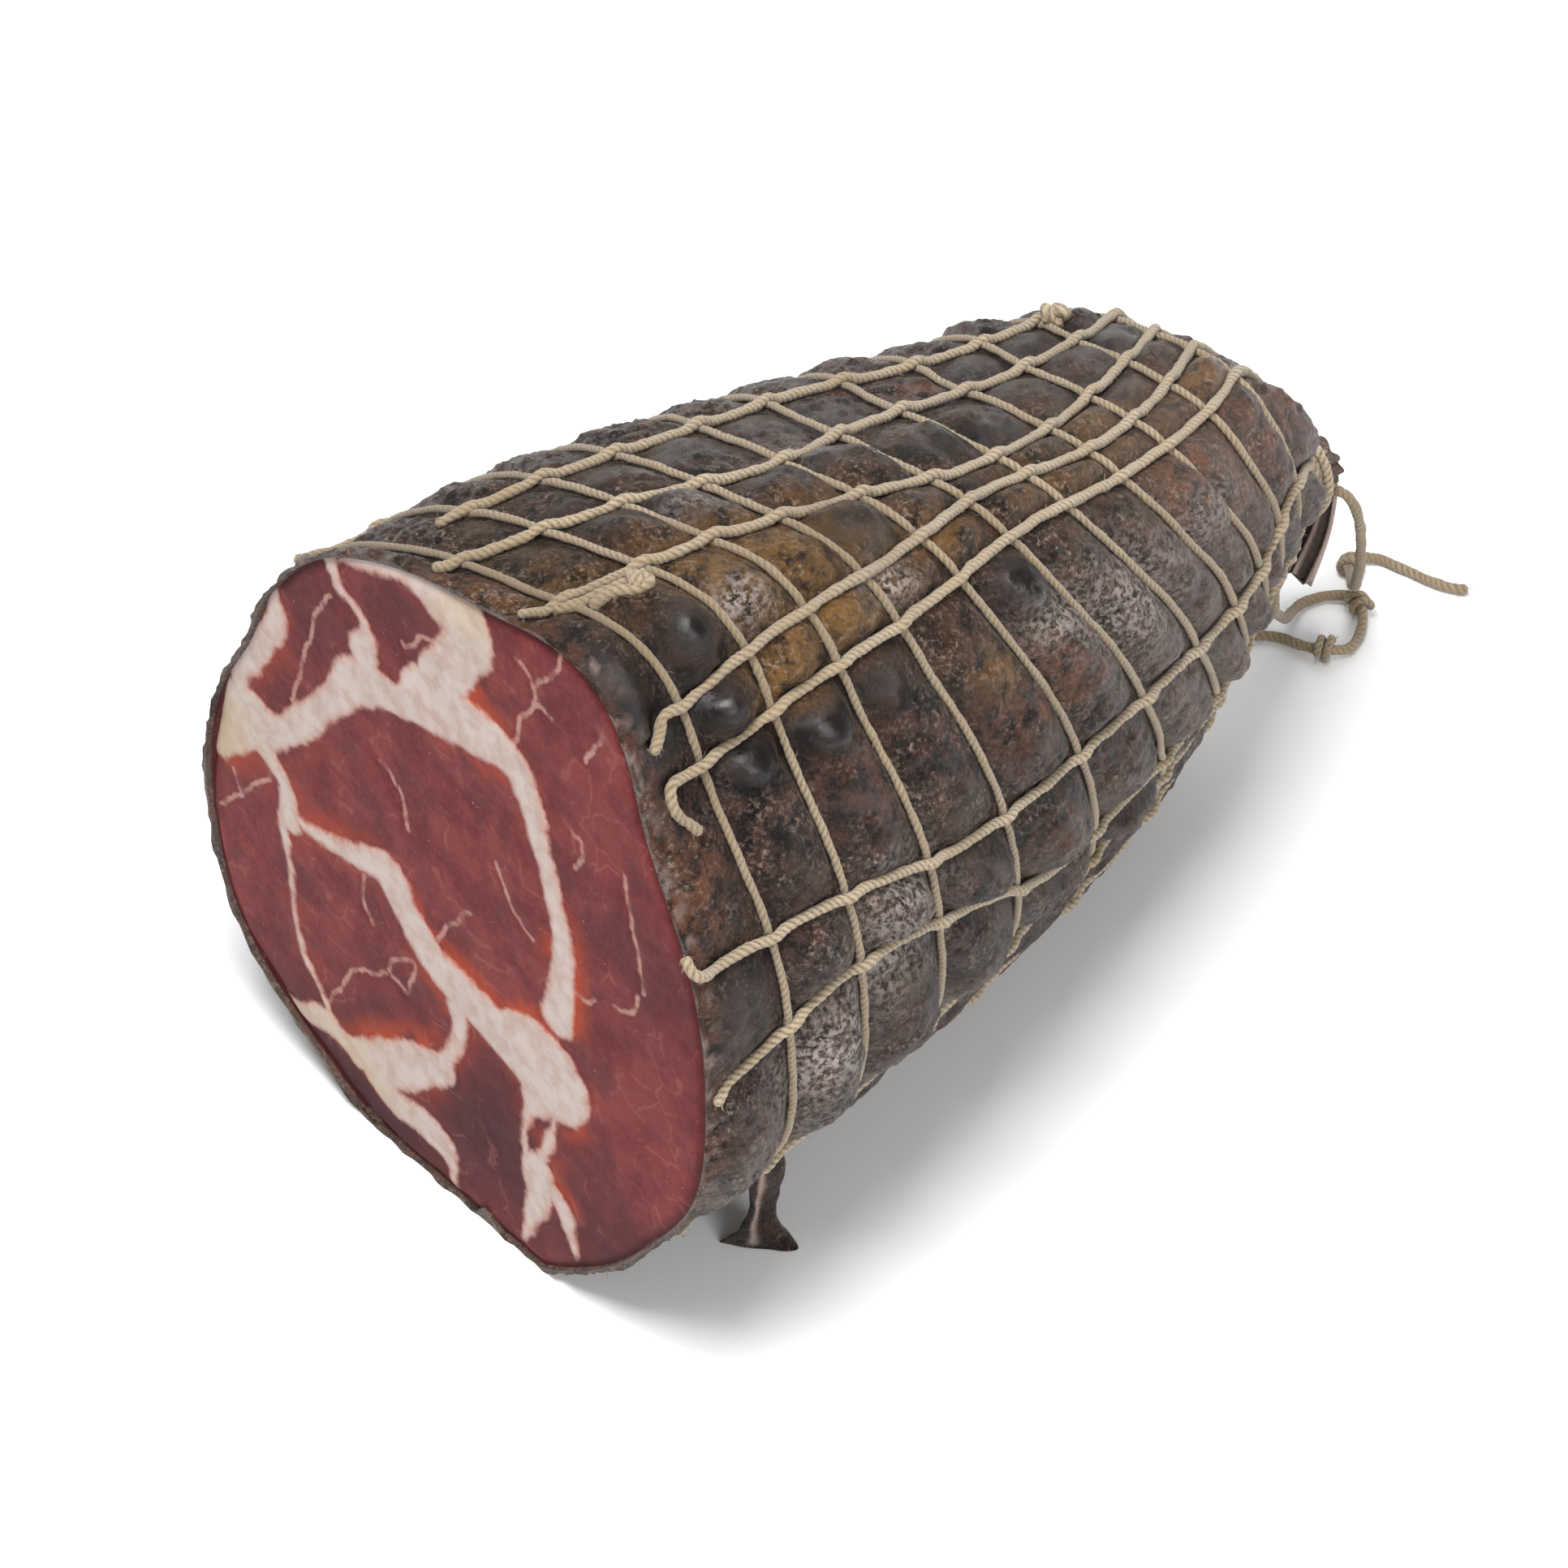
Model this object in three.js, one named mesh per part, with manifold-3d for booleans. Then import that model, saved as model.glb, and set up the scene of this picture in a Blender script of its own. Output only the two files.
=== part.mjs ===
// A whole cured pork neck in its natural casing, bound in a hand-tied twine net and cut open at one end.
// Millimetres. +Y runs from the cut face to the tied end, +X to the right, +Z up. It lies on its flattened
// underside, and the origin is the middle of that side of its box, measured without the two free cords.
import * as THREE from "three";
import { mergeVertices } from "three/addons/utils/BufferGeometryUtils.js";
import Module from "manifold-3d";

// ---- Driving dimensions, in millimetres and degrees ----
// The body's cross-section is a closed outline round an axis. It changes from the cut face's own shape to a
// rounder one. Angles start at the right flank and turn up over the top, one radius every 20 degrees.
const CUT_RADII = [53, 54, 56, 65, 56, 51, 48, 45.5, 44.5, 50, 56, 61.5, 60, 60.5, 61, 57, 54, 54];
const FAR_RADII = [46, 51, 58, 62, 55, 50, 51, 52, 53, 54, 54, 53, 55, 61, 62, 55, 47, 44];
const SHAPE_CHANGE = { from: 10, over: 100 };
// Stations along the axis: where each is, how large its outline is, and where its centre lies.
const STATION_Y = [0, 25, 50, 75, 100, 120, 136, 147, 151.5, 153];
const STATION_SCALE = [1, 0.983, 0.93, 0.864, 0.774, 0.677, 0.531, 0.331, 0.17, 0];
const STATION_X = [52, 52.4, 52.2, 50.6, 48.3, 45.5, 44.3, 47.1, 49.6, 50.5];
const STATION_Z = [56, 56.8, 53.9, 49.1, 44.8, 43.9, 45.6, 43.6, 42, 40.5];
const LAST_STATION = STATION_Y.length - 1;

const CASING_WALL = 1.0;
const GAP = 0.3;
const THIN_GAP = 0.2;
const HOOP_RADIUS = 0.7;
const STRING_RADIUS = 0.9;
const CORD_RADIUS = 0.8;
const TWINE_SIDES = 4;
const CORD_SIDES = 8;

// The net presses a quilt into the casing. Heights are measured from the crowns of the pillows.
const QUILT = { crossing: -2.2, underHoop: -1.6, underString: -1.4, pillow: 0 };
// Under the body the twine stays clear of the surface that the part lies on, by at least these heights.
const CLEARANCE = { crossing: 3.9, underHoop: 2.6, underString: 3.0, pillow: -1.6 };

// Each hoop is skewed. It is given by where it crosses the ridge at 75 degrees, the right flank at 15 degrees
// and the far shoulder at 105 degrees.
const HOOPS = [
  { ridge: 7.5, flank: 13.5, shoulder: 4.5 },
  { ridge: 19, flank: 26.5, shoulder: 15 },
  { ridge: 29, flank: 41.5, shoulder: 27 },
  { ridge: 39, flank: 57.5, shoulder: 40.5 },
  { ridge: 51, flank: 75.5, shoulder: 57 },
  { ridge: 63, flank: 92, shoulder: 71 },
  { ridge: 77, flank: 107, shoulder: 85.5 },
  { ridge: 92, flank: 117.5, shoulder: 99 },
  { ridge: 105, flank: 126, shoulder: 112 },
  { ridge: 119, flank: 133, shoulder: 124 },
  { ridge: 132, flank: 140.5, shoulder: 136 },
];
// How much of the flank's and of the shoulder's skew a hoop has at each 30 degrees.
const FLANK_SHARE = [1.2, 0.8, 0.25, 0, 0, 0.1, 0.25, 0.5, 0.9, 1.3, 1.6, 1.5];
const SHOULDER_SHARE = [0, 0, 0, 0.55, 1, 1, 0.9, 0.65, 0.3, 0.1, 0, 0];

// The lengthwise strings that can be traced: the angle of each at every 25 mm from the cut, and where its
// cut end is. The rest go evenly round the far side and the underside.
const TRACED_STRINGS = [
  { start: 1, angles: [0, 6, 1, -11, -13, -16, -8] },
  { start: 2, angles: [21, 19, 15, 17, 20, 20, 35] },
  { start: 5, angles: [45, 47.5, 51, 56.5, 58.5, 61, 72] },
  { start: 5, angles: [52, 55.5, 59, 64.5, 66, 73, 92] },
  { start: 1, angles: [74, 72, 71, 70, 75, 86, 112] },
  { start: 2, angles: [92, 87, 84.5, 91, 96, 103, 131] },
  { start: 11.5, angles: [106, 104, 107, 113, 114, 120, 150] },
];
const TRACE_STEP = 25;
const EVEN_STRINGS = { count: 9, from: 129, step: 24.5, start: 1.2, lean: 0.27, leanDrop: 0.023 };
const STRING_END_STATION = 8.2;
const END_ROWS = [7.6, STRING_END_STATION];

// The casing is gathered into a neck at the tied end, bound with two turns of twine, and its tail is
// folded down over the end.
const NECK = { x: 50.5, z: 40.5, radius: 3.6, from: 147, to: 159.5 };
const BINDING = { turns: 2, twineRadius: 0.8, from: 154.2 };
const TAIL_PATH = [
  [50.2, 158.9, 42],
  [50, 160, 38.6],
  [49.8, 159.6, 34],
  [49.9, 157.6, 28.5],
  [50.1, 154.7, 23.5],
];
const TAIL_SECTION = { halfWidth: 3.8, halfThickness: 1.3 };
// A loose fold of casing hangs from the right flank near the cut and touches the surface.
const FLAP_BOTTOM = [[82.2, 21.5], [85, 22.5], [88.5, 28.5], [84.5, 30]];
const FLAP_ROOT = [[86, 20.5], [88.4, 21], [88.8, 27.5], [86, 28]];
const FLAP_TOP = 17;

// Routes of the two free cords, from where each leaves the object. Both lie on the surface.
const HANG_CORD_ROUTE = [
  [54.9, 158.3, 38.7], [56, 160.3, 36.6], [56.3, 162.3, 32], [55.2, 164.2, 26], [53.2, 166.4, 19],
  [50.4, 169, 12.6], [47.2, 172, 8.4], [43.9, 175, 5.4], [41, 177.8, 3.2], [38.6, 180.2, 2.2],
  [37.6, 183, 1.4], [39.4, 185.6, 0.95], [42.8, 186.6, 0.95], [46.4, 187.3, 0.95], [50, 188.4, 0.95],
  [53, 190.4, 0.95],
];
const LOOP_CORD_ROUTE = [
  [50.1, 153.9, 22.6], [49.4, 153, 19.5], [48.2, 154.4, 14.5],
  [45.4, 158.4, 9], [43, 162.6, 4.8], [40.6, 166.4, 2.1], [39.4, 170.2, 1.0], [40.6, 173.8, 1.2],
  [44, 175.4, 2.2], [47.6, 174, 2.2], [50.2, 170.8, 1.4], [51.2, 167.2, 1.6], [49.6, 164.2, 2.2],
  [46.2, 162.9, 1.3], [42.4, 161.9, 0.95], [39.4, 159.2, 0.95], [37.9, 155, 0.95], [37.4, 150, 0.95],
  [37.4, 145.5, 1.4], [37.7, 141.2, 3.3], [38.2, 137.4, 5.8], [38.8, 133.9, 8.2],
];
const CORD_STEPS = 24;
const COLLAR = { radius: 1.7, tube: 0.5 };
const CORD_KNOTS = [
  { name: "hang_cord_knot", at: [38.6, 180.2, 2.25], along: [-3.4, 5.2, -1.8] },
  { name: "loop_cord_knot_outer", at: [45.9, 175, 2.25], along: [3.6, -1.1, 0] },
  { name: "loop_cord_knot_inner", at: [49.6, 164.2, 2.2], along: [-2.5, -2.15, -0.1] },
];

// ---- Numbers along and round the body ----
const radians = THREE.MathUtils.degToRad;
const wrap = (value, size) => ((value % size) + size) % size;

// A smooth value (Catmull-Rom) through a list, at a fractional index.
function through(values, at, closed = false) {
  const last = values.length - 1;
  const i = Math.floor(at);
  const f = at - i;
  const pick = (k) => values[closed ? wrap(k, values.length) : Math.min(Math.max(k, 0), last)];
  const [a, b, c, d] = [pick(i - 1), pick(i), pick(i + 1), pick(i + 2)];
  return b + 0.5 * f * (c - a + f * (2 * a - 5 * b + 4 * c - d + f * (3 * (b - c) + d - a)));
}

const aroundBody = (values, angle) => through(values, angle / (360 / values.length), true);
const yAt = (station) => through(STATION_Y, station);

// The station at which the axis reaches a distance from the cut face.
function stationAt(y) {
  let [low, high] = [0, LAST_STATION];
  for (let i = 0; i < 40; i++) {
    const middle = (low + high) / 2;
    if (yAt(middle) < y) low = middle;
    else high = middle;
  }
  return (low + high) / 2;
}

function outline(station, angle) {
  const y = yAt(station);
  const change = THREE.MathUtils.smoothstep(y, SHAPE_CHANGE.from, SHAPE_CHANGE.from + SHAPE_CHANGE.over);
  const shape = THREE.MathUtils.lerp(aroundBody(CUT_RADII, angle), aroundBody(FAR_RADII, angle), change);
  const radius = shape * Math.max(through(STATION_SCALE, station), 0);
  return new THREE.Vector3(
    through(STATION_X, station) + radius * Math.cos(radians(angle)),
    y,
    through(STATION_Z, station) + radius * Math.sin(radians(angle)),
  );
}

function outward(station, angle) {
  const small = 0.02;
  if (station > LAST_STATION - small) return new THREE.Vector3(0, 1, 0);
  const from = Math.max(station - small, 0);
  const along = outline(station + small, angle).sub(outline(from, angle));
  const round = outline(station, angle + 1).sub(outline(station, angle - 1));
  return along.cross(round).normalize();
}

// A point at a height over the pillows' crowns, never below the clearance given.
function skin(station, angle, height, clearance) {
  const point = outline(station, angle).addScaledVector(outward(station, angle), height);
  point.z = Math.max(point.z, clearance);
  return point;
}

// ---- The net's lines, and the quilt between them ----
function hoopY(hoop, angle) {
  const flank = aroundBody(FLANK_SHARE, angle);
  const shoulder = aroundBody(SHOULDER_SHARE, angle);
  return hoop.ridge + flank * (hoop.flank - hoop.ridge) + shoulder * (hoop.shoulder - hoop.ridge);
}

function stringLines() {
  const traced = TRACED_STRINGS.map(({ start, angles }) => ({
    start,
    angleAt: (y) => through(angles, y / TRACE_STEP),
  }));
  const even = Array.from({ length: EVEN_STRINGS.count }, (_, i) => ({
    start: EVEN_STRINGS.start + 0.4 * (i % 3),
    angleAt: (y) =>
      EVEN_STRINGS.from + i * EVEN_STRINGS.step + (EVEN_STRINGS.lean - i * EVEN_STRINGS.leanDrop) * y,
  }));
  return [...traced, ...even];
}

const STRINGS = stringLines();

// Columns of the quilt: each string, then the middle between it and the next one.
const COLUMNS = STRINGS.flatMap((string, i) => {
  const next = STRINGS[(i + 1) % STRINGS.length];
  const turn = i === STRINGS.length - 1 ? 360 : 0;
  const between = (y) => (string.angleAt(y) + next.angleAt(y) + turn) / 2;
  return [
    { onString: true, angleAt: string.angleAt },
    { onString: false, angleAt: between },
  ];
});

// Rows of the quilt: the cut edge, then the middle before each hoop and the hoop, then the far end.
const ROWS = (() => {
  const hoopStation = HOOPS.map((hoop) => (angle) => stationAt(hoopY(hoop, angle)));
  const stations = [() => 0, ...hoopStation, () => END_ROWS[0]];
  const rows = [{ onHoop: false, stationAt: () => 0 }];
  for (let i = 1; i < stations.length; i++) {
    const [before, here] = [stations[i - 1], stations[i]];
    rows.push({ onHoop: false, stationAt: (angle) => (before(angle) + here(angle)) / 2 });
    rows.push({ onHoop: i <= HOOPS.length, hoop: i - 1, stationAt: here });
  }
  rows.push({ onHoop: false, stationAt: () => END_ROWS[1] });
  return rows;
})();

// Where a row and a column meet. Both lean, so the meeting point is found in a few rounds.
function meeting(row, column) {
  let angle = column.angleAt(0);
  let station = 0;
  for (let i = 0; i < 8; i++) {
    station = row.stationAt(angle);
    angle = column.angleAt(yAt(station));
  }
  return { station, angle };
}

function kindOf(row, column) {
  if (row.onHoop) return column.onString ? "crossing" : "underHoop";
  return column.onString ? "underString" : "pillow";
}

// Every meeting point, with its kind, row by row.
const NET = ROWS.map((row) =>
  COLUMNS.map((column) => {
    const { station, angle } = meeting(row, column);
    return { station, angle, kind: kindOf(row, column) };
  }),
);

const onQuilt = ({ station, angle, kind }, above) => {
  const nearPole = station > END_ROWS[0] - 0.01;
  const height = nearPole ? QUILT.underString : QUILT[kind];
  return skin(station, angle, height + above, CLEARANCE[kind] - above);
};

// ---- Solids ----
const wasm = await Module();
wasm.setup();

function toSolid(geometry) {
  const bare = geometry.index ? geometry.toNonIndexed() : geometry.clone();
  for (const name of Object.keys(bare.attributes)) if (name !== "position") bare.deleteAttribute(name);
  const merged = mergeVertices(bare, 1e-4);
  return new wasm.Manifold(
    new wasm.Mesh({
      numProp: 3,
      vertProperties: merged.attributes.position.array,
      triVerts: new Uint32Array(merged.index.array),
    }),
  );
}

function toGeometry(solid) {
  const { vertProperties, triVerts } = solid.getMesh();
  const geometry = new THREE.BufferGeometry();
  geometry.setAttribute("position", new THREE.BufferAttribute(vertProperties, 3));
  geometry.setIndex(new THREE.BufferAttribute(triVerts, 1));
  geometry.computeVertexNormals();
  return geometry;
}

// A closed quilted solid. `above` moves it out from the casing's face, and `overhang` carries its open end
// past the cut so that it can be used as a cutter.
function quiltSolid(above, overhang) {
  const rings = NET.map((row) => row.map((place) => onQuilt(place, above)));
  if (overhang > 0) rings.unshift(rings[0].map((point) => point.clone().setY(-overhang)));
  const count = COLUMNS.length;
  const points = rings.flat();
  const middle = rings[0].reduce((sum, p) => sum.add(p), new THREE.Vector3()).divideScalar(count);
  const pole = skin(LAST_STATION, 0, QUILT.underString + above, 0);
  const [front, back] = [points.push(middle) - 1, points.push(pole) - 1];
  const faces = [];
  for (let c = 0; c < count; c++) {
    const next = (c + 1) % count;
    faces.push([front, c, next]);
    for (let r = 0; r + 1 < rings.length; r++) {
      const [a, b] = [r * count + c, r * count + next];
      const [d, e] = [a + count, b + count];
      // The diagonal runs from the net's crossing to the pillow's crown.
      const rising = (r + (overhang > 0 ? 1 : 0) + c) % 2 === 0;
      if (rising) faces.push([a, e, b], [a, d, e]);
      else faces.push([a, d, b], [b, d, e]);
    }
    const last = (rings.length - 1) * count;
    faces.push([back, last + next, last + c]);
  }
  const geometry = new THREE.BufferGeometry();
  geometry.setAttribute(
    "position",
    new THREE.Float32BufferAttribute(points.flatMap((p) => [p.x, p.y, p.z]), 3),
  );
  geometry.setIndex(faces.flat());
  return toSolid(geometry);
}

// A box that trims a solid from a height upwards and from the cut face backwards.
function roomAbove(height) {
  const size = 400;
  const box = new THREE.BoxGeometry(size, size, size);
  box.translate(0, size / 2, size / 2 + height);
  return toSolid(box);
}

function neckSolid() {
  const length = NECK.to - NECK.from;
  const neck = new THREE.CylinderGeometry(NECK.radius, NECK.radius, length, 12);
  neck.translate(NECK.x, NECK.from + length / 2, NECK.z);
  return toSolid(neck);
}

function tailSolid() {
  const section = new THREE.Shape();
  const { halfWidth, halfThickness } = TAIL_SECTION;
  section.absellipse(0, 0, halfWidth, halfThickness, 0, 2 * Math.PI);
  const path = new THREE.CatmullRomCurve3(TAIL_PATH.map((p) => new THREE.Vector3(...p)));
  const tail = new THREE.ExtrudeGeometry(section, { steps: 8, curveSegments: 5, extrudePath: path });
  return toSolid(tail);
}

function flapSolid() {
  const points = [
    ...FLAP_BOTTOM.map(([x, y]) => [x, y, 0]),
    ...FLAP_ROOT.map(([x, y]) => [x, y, FLAP_TOP]),
  ];
  const faces = [[0, 3, 2], [0, 2, 1], [4, 5, 6], [4, 6, 7]];
  for (let i = 0; i < 4; i++) {
    const next = (i + 1) % 4;
    faces.push([i, next, next + 4], [i, next + 4, i + 4]);
  }
  const geometry = new THREE.BufferGeometry();
  geometry.setAttribute("position", new THREE.Float32BufferAttribute(points.flat(), 3));
  geometry.setIndex(faces.flat());
  return toSolid(geometry);
}

function casingGeometry() {
  const outside = quiltSolid(0, 0).add(neckSolid()).add(tailSolid()).add(flapSolid());
  const cavity = quiltSolid(-CASING_WALL, 5).intersect(cavityRoom());
  return toGeometry(outside.intersect(roomAbove(0)).subtract(cavity));
}

function cavityRoom() {
  const size = 400;
  const box = new THREE.BoxGeometry(size, size, size);
  box.translate(0, size / 2 - 10, size / 2 + CASING_WALL);
  return toSolid(box);
}

function porkGeometry() {
  const inset = CASING_WALL + GAP;
  return toGeometry(quiltSolid(-inset, 0).intersect(roomAbove(inset)));
}

// A closed ring of twine whose middle line runs through the points given.
function ringGeometry(points, normals, radius) {
  const count = points.length;
  const torus = new THREE.TorusGeometry(1, 0.5, TWINE_SIDES, count);
  const position = torus.attributes.position;
  for (let i = 0; i < position.count; i++) {
    const place = i % (count + 1) % count;
    const turn = (2 * Math.PI * Math.floor(i / (count + 1))) / TWINE_SIDES;
    const ahead = points[(place + 1) % count].clone().sub(points[(place + count - 1) % count]).normalize();
    const out = normals[place].clone().addScaledVector(ahead, -normals[place].dot(ahead)).normalize();
    const across = out.clone().cross(ahead);
    const at = points[place].clone();
    at.addScaledVector(out, radius * Math.cos(turn)).addScaledVector(across, radius * Math.sin(turn));
    position.setXYZ(i, at.x, at.y, at.z);
  }
  return torus;
}

function hoopGeometry(number) {
  const places = NET[ROWS.findIndex((row) => row.onHoop && row.hoop === number)];
  const above = THIN_GAP + HOOP_RADIUS;
  const points = places.map((place) => onQuilt(place, above));
  const normals = places.map(({ station, angle }) => outward(station, angle));
  return ringGeometry(points, normals, HOOP_RADIUS);
}

// A path whose equal steps land on the points given, so that twine bends exactly where it crosses a hoop.
class StepPath extends THREE.Curve {
  constructor(points) {
    super();
    this.points = points;
  }
  getPoint(t, target = new THREE.Vector3()) {
    const at = t * (this.points.length - 1);
    const i = Math.min(Math.floor(at), this.points.length - 2);
    return target.lerpVectors(this.points[i], this.points[i + 1], at - i);
  }
  getPointAt(u, target) {
    return this.getPoint(u, target);
  }
  getTangentAt(u, target) {
    return this.getTangent(u, target);
  }
}

function roundSection(radius, sides) {
  const corners = Array.from({ length: sides }, (_, i) => {
    const turn = (2 * Math.PI * i) / sides;
    return new THREE.Vector2(radius * Math.cos(turn), radius * Math.sin(turn));
  });
  return new THREE.Shape(corners);
}

function stringGeometry(number) {
  const { start, angleAt } = STRINGS[number];
  const startStation = stationAt(start);
  const onHoops = THIN_GAP + 2 * HOOP_RADIUS + THIN_GAP + STRING_RADIUS;
  const onCasing = THIN_GAP + STRING_RADIUS;
  const first = { station: startStation, angle: angleAt(start), kind: "underString" };
  const rest = NET.map((row) => row[2 * number]).filter(({ station }) => station > startStation + 0.08);
  const points = [first, ...rest].map((place) =>
    onQuilt(place, place.kind === "crossing" ? onHoops : onCasing),
  );
  const section = roundSection(STRING_RADIUS, TWINE_SIDES);
  return new THREE.ExtrudeGeometry(section, { steps: points.length - 1, extrudePath: new StepPath(points) });
}

// The turns of twine round the neck, side by side: a ring whose section has one lobe for each turn.
function bindingGeometry() {
  const { turns, twineRadius, from } = BINDING;
  const inner = NECK.radius + GAP;
  const pitch = 2 * twineRadius * 0.9;
  const profile = [[inner, 0]];
  for (let i = 0; i < turns; i++) {
    const middle = twineRadius + i * pitch;
    profile.push([inner + twineRadius, middle - twineRadius * 0.85]);
    profile.push([inner + 2 * twineRadius, middle]);
    profile.push([inner + twineRadius, middle + twineRadius * 0.75]);
  }
  profile.push([inner, 2 * twineRadius + (turns - 1) * pitch], [inner, 0]);
  const ring = new THREE.LatheGeometry(profile.map(([r, y]) => new THREE.Vector2(r, y)), 14);
  return ring.translate(NECK.x, from, NECK.z);
}

function cordGeometry(route) {
  const path = new THREE.CatmullRomCurve3(route.map((p) => new THREE.Vector3(...p)));
  const section = roundSection(CORD_RADIUS, CORD_SIDES);
  return new THREE.ExtrudeGeometry(section, { steps: CORD_STEPS, extrudePath: path });
}

// A knot on a cord: a collar of twine round it.
function collarGeometry({ at, along }) {
  const collar = new THREE.TorusGeometry(COLLAR.radius, COLLAR.tube, 5, 9);
  const axis = new THREE.Vector3(...along).normalize();
  collar.applyQuaternion(new THREE.Quaternion().setFromUnitVectors(new THREE.Vector3(0, 0, 1), axis));
  return collar.translate(...at);
}

// A knot or a cut end of the net that stands on the casing: a small lump of twine.
function lumpGeometry(y, angle, height, size) {
  const station = stationAt(y);
  const lump = new THREE.IcosahedronGeometry(1, 1);
  lump.scale(size[0], size[1], size[2]);
  return lump.translate(...skin(station, angle, height, size[2] + THIN_GAP).toArray());
}

// ---- The assembly ----
const MEAT = new THREE.MeshStandardMaterial({ color: 0x7c3a3e, roughness: 0.55, metalness: 0 });
const CASING = new THREE.MeshStandardMaterial({ color: 0x3a2f2c, roughness: 0.4, metalness: 0 });
const TWINE = new THREE.MeshStandardMaterial({ color: 0xb5a48c, roughness: 0.9, metalness: 0 });
const CORD_NAMES = ["hang_cord", "loop_cord", ...CORD_KNOTS.map((knot) => knot.name)];

const pieces = new THREE.Group();

function addPiece(name, geometry, material) {
  const mesh = new THREE.Mesh(geometry, material);
  mesh.name = name;
  pieces.add(mesh);
}

const numbered = (stem, i) => stem + "_" + String(i + 1).padStart(2, "0");

addPiece("cured_pork", porkGeometry(), MEAT);
addPiece("casing", casingGeometry(), CASING);
HOOPS.forEach((_, i) => addPiece(numbered("hoop", i), hoopGeometry(i), TWINE));
STRINGS.forEach((_, i) => addPiece(numbered("lengthwise_string", i), stringGeometry(i), TWINE));
addPiece("end_binding", bindingGeometry(), TWINE);
addPiece("top_knot", lumpGeometry(124.5, 114, 2.9, [1.7, 1.9, 2.2]), TWINE);
addPiece("front_knot", lumpGeometry(12.5, 66.5, 1.5, [1.2, 3.2, 1.2]), TWINE);
addPiece("hang_cord", cordGeometry(HANG_CORD_ROUTE), TWINE);
addPiece("loop_cord", cordGeometry(LOOP_CORD_ROUTE), TWINE);
CORD_KNOTS.forEach((knot) => addPiece(knot.name, collarGeometry(knot), TWINE));

// The origin is the middle of the underside of the box round everything but the free cords.
const body = new THREE.Box3();
pieces.children
  .filter((mesh) => !CORD_NAMES.includes(mesh.name))
  .forEach((mesh) => body.expandByObject(mesh, true));
const middle = body.getCenter(new THREE.Vector3());
pieces.position.set(-middle.x, -middle.y, -body.min.z);

const part = new THREE.Group();
part.add(pieces);

export default part;
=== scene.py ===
# Looks for a cured pork neck in a netted casing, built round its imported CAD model.
# Shapes are worked out in millimetres, in the same axes as the CAD source, and placed in metres.
import math

import bpy
import numpy as np
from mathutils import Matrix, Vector, noise


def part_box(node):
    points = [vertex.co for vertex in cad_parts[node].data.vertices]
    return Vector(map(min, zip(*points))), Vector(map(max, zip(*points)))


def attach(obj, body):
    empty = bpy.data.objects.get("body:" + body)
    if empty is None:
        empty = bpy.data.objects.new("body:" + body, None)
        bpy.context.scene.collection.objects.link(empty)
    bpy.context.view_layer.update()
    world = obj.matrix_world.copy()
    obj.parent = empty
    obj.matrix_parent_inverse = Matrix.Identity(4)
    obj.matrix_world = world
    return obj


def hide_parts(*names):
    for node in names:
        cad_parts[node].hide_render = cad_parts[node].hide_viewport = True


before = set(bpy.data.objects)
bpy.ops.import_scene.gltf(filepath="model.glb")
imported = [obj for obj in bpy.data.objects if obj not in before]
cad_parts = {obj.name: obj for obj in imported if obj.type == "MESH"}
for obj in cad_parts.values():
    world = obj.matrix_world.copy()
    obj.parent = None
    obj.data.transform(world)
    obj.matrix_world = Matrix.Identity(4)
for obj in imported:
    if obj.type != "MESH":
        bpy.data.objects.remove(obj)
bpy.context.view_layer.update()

MM = 0.001

# ---- The body's form, as the CAD source gives it (millimetres and degrees) ----
CUT_RADII = [53, 54, 56, 65, 56, 51, 48, 45.5, 44.5, 50, 56, 61.5, 60, 60.5, 61, 57, 54, 54]
FAR_RADII = [46, 51, 58, 62, 55, 50, 51, 52, 53, 54, 54, 53, 55, 61, 62, 55, 47, 44]
SHAPE_FROM, SHAPE_OVER = 10, 100
STATION_Y = [0, 25, 50, 75, 100, 120, 136, 147, 151.5, 153]
STATION_SCALE = [1, 0.983, 0.93, 0.864, 0.774, 0.677, 0.531, 0.331, 0.17, 0]
STATION_X = [52, 52.4, 52.2, 50.6, 48.3, 45.5, 44.3, 47.1, 49.6, 50.5]
STATION_Z = [56, 56.8, 53.9, 49.1, 44.8, 43.9, 45.6, 43.6, 42, 40.5]
LAST_STATION = 9
MEAN_RADIUS = 56
NECK_X, NECK_Z = 50.5, 40.5

# Each hoop: where it crosses the ridge, the right flank and the far shoulder, as y.
HOOPS = [
    (7.5, 13.5, 4.5), (19, 26.5, 15), (29, 41.5, 27), (39, 57.5, 40.5), (51, 75.5, 57), (63, 92, 71),
    (77, 107, 85.5), (92, 117.5, 99), (105, 126, 112), (119, 133, 124), (132, 140.5, 136),
]
FLANK_SHARE = [1.2, 0.8, 0.25, 0, 0, 0.1, 0.25, 0.5, 0.9, 1.3, 1.6, 1.5]
SHOULDER_SHARE = [0, 0, 0, 0.55, 1, 1, 0.9, 0.65, 0.3, 0.1, 0, 0]
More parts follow.
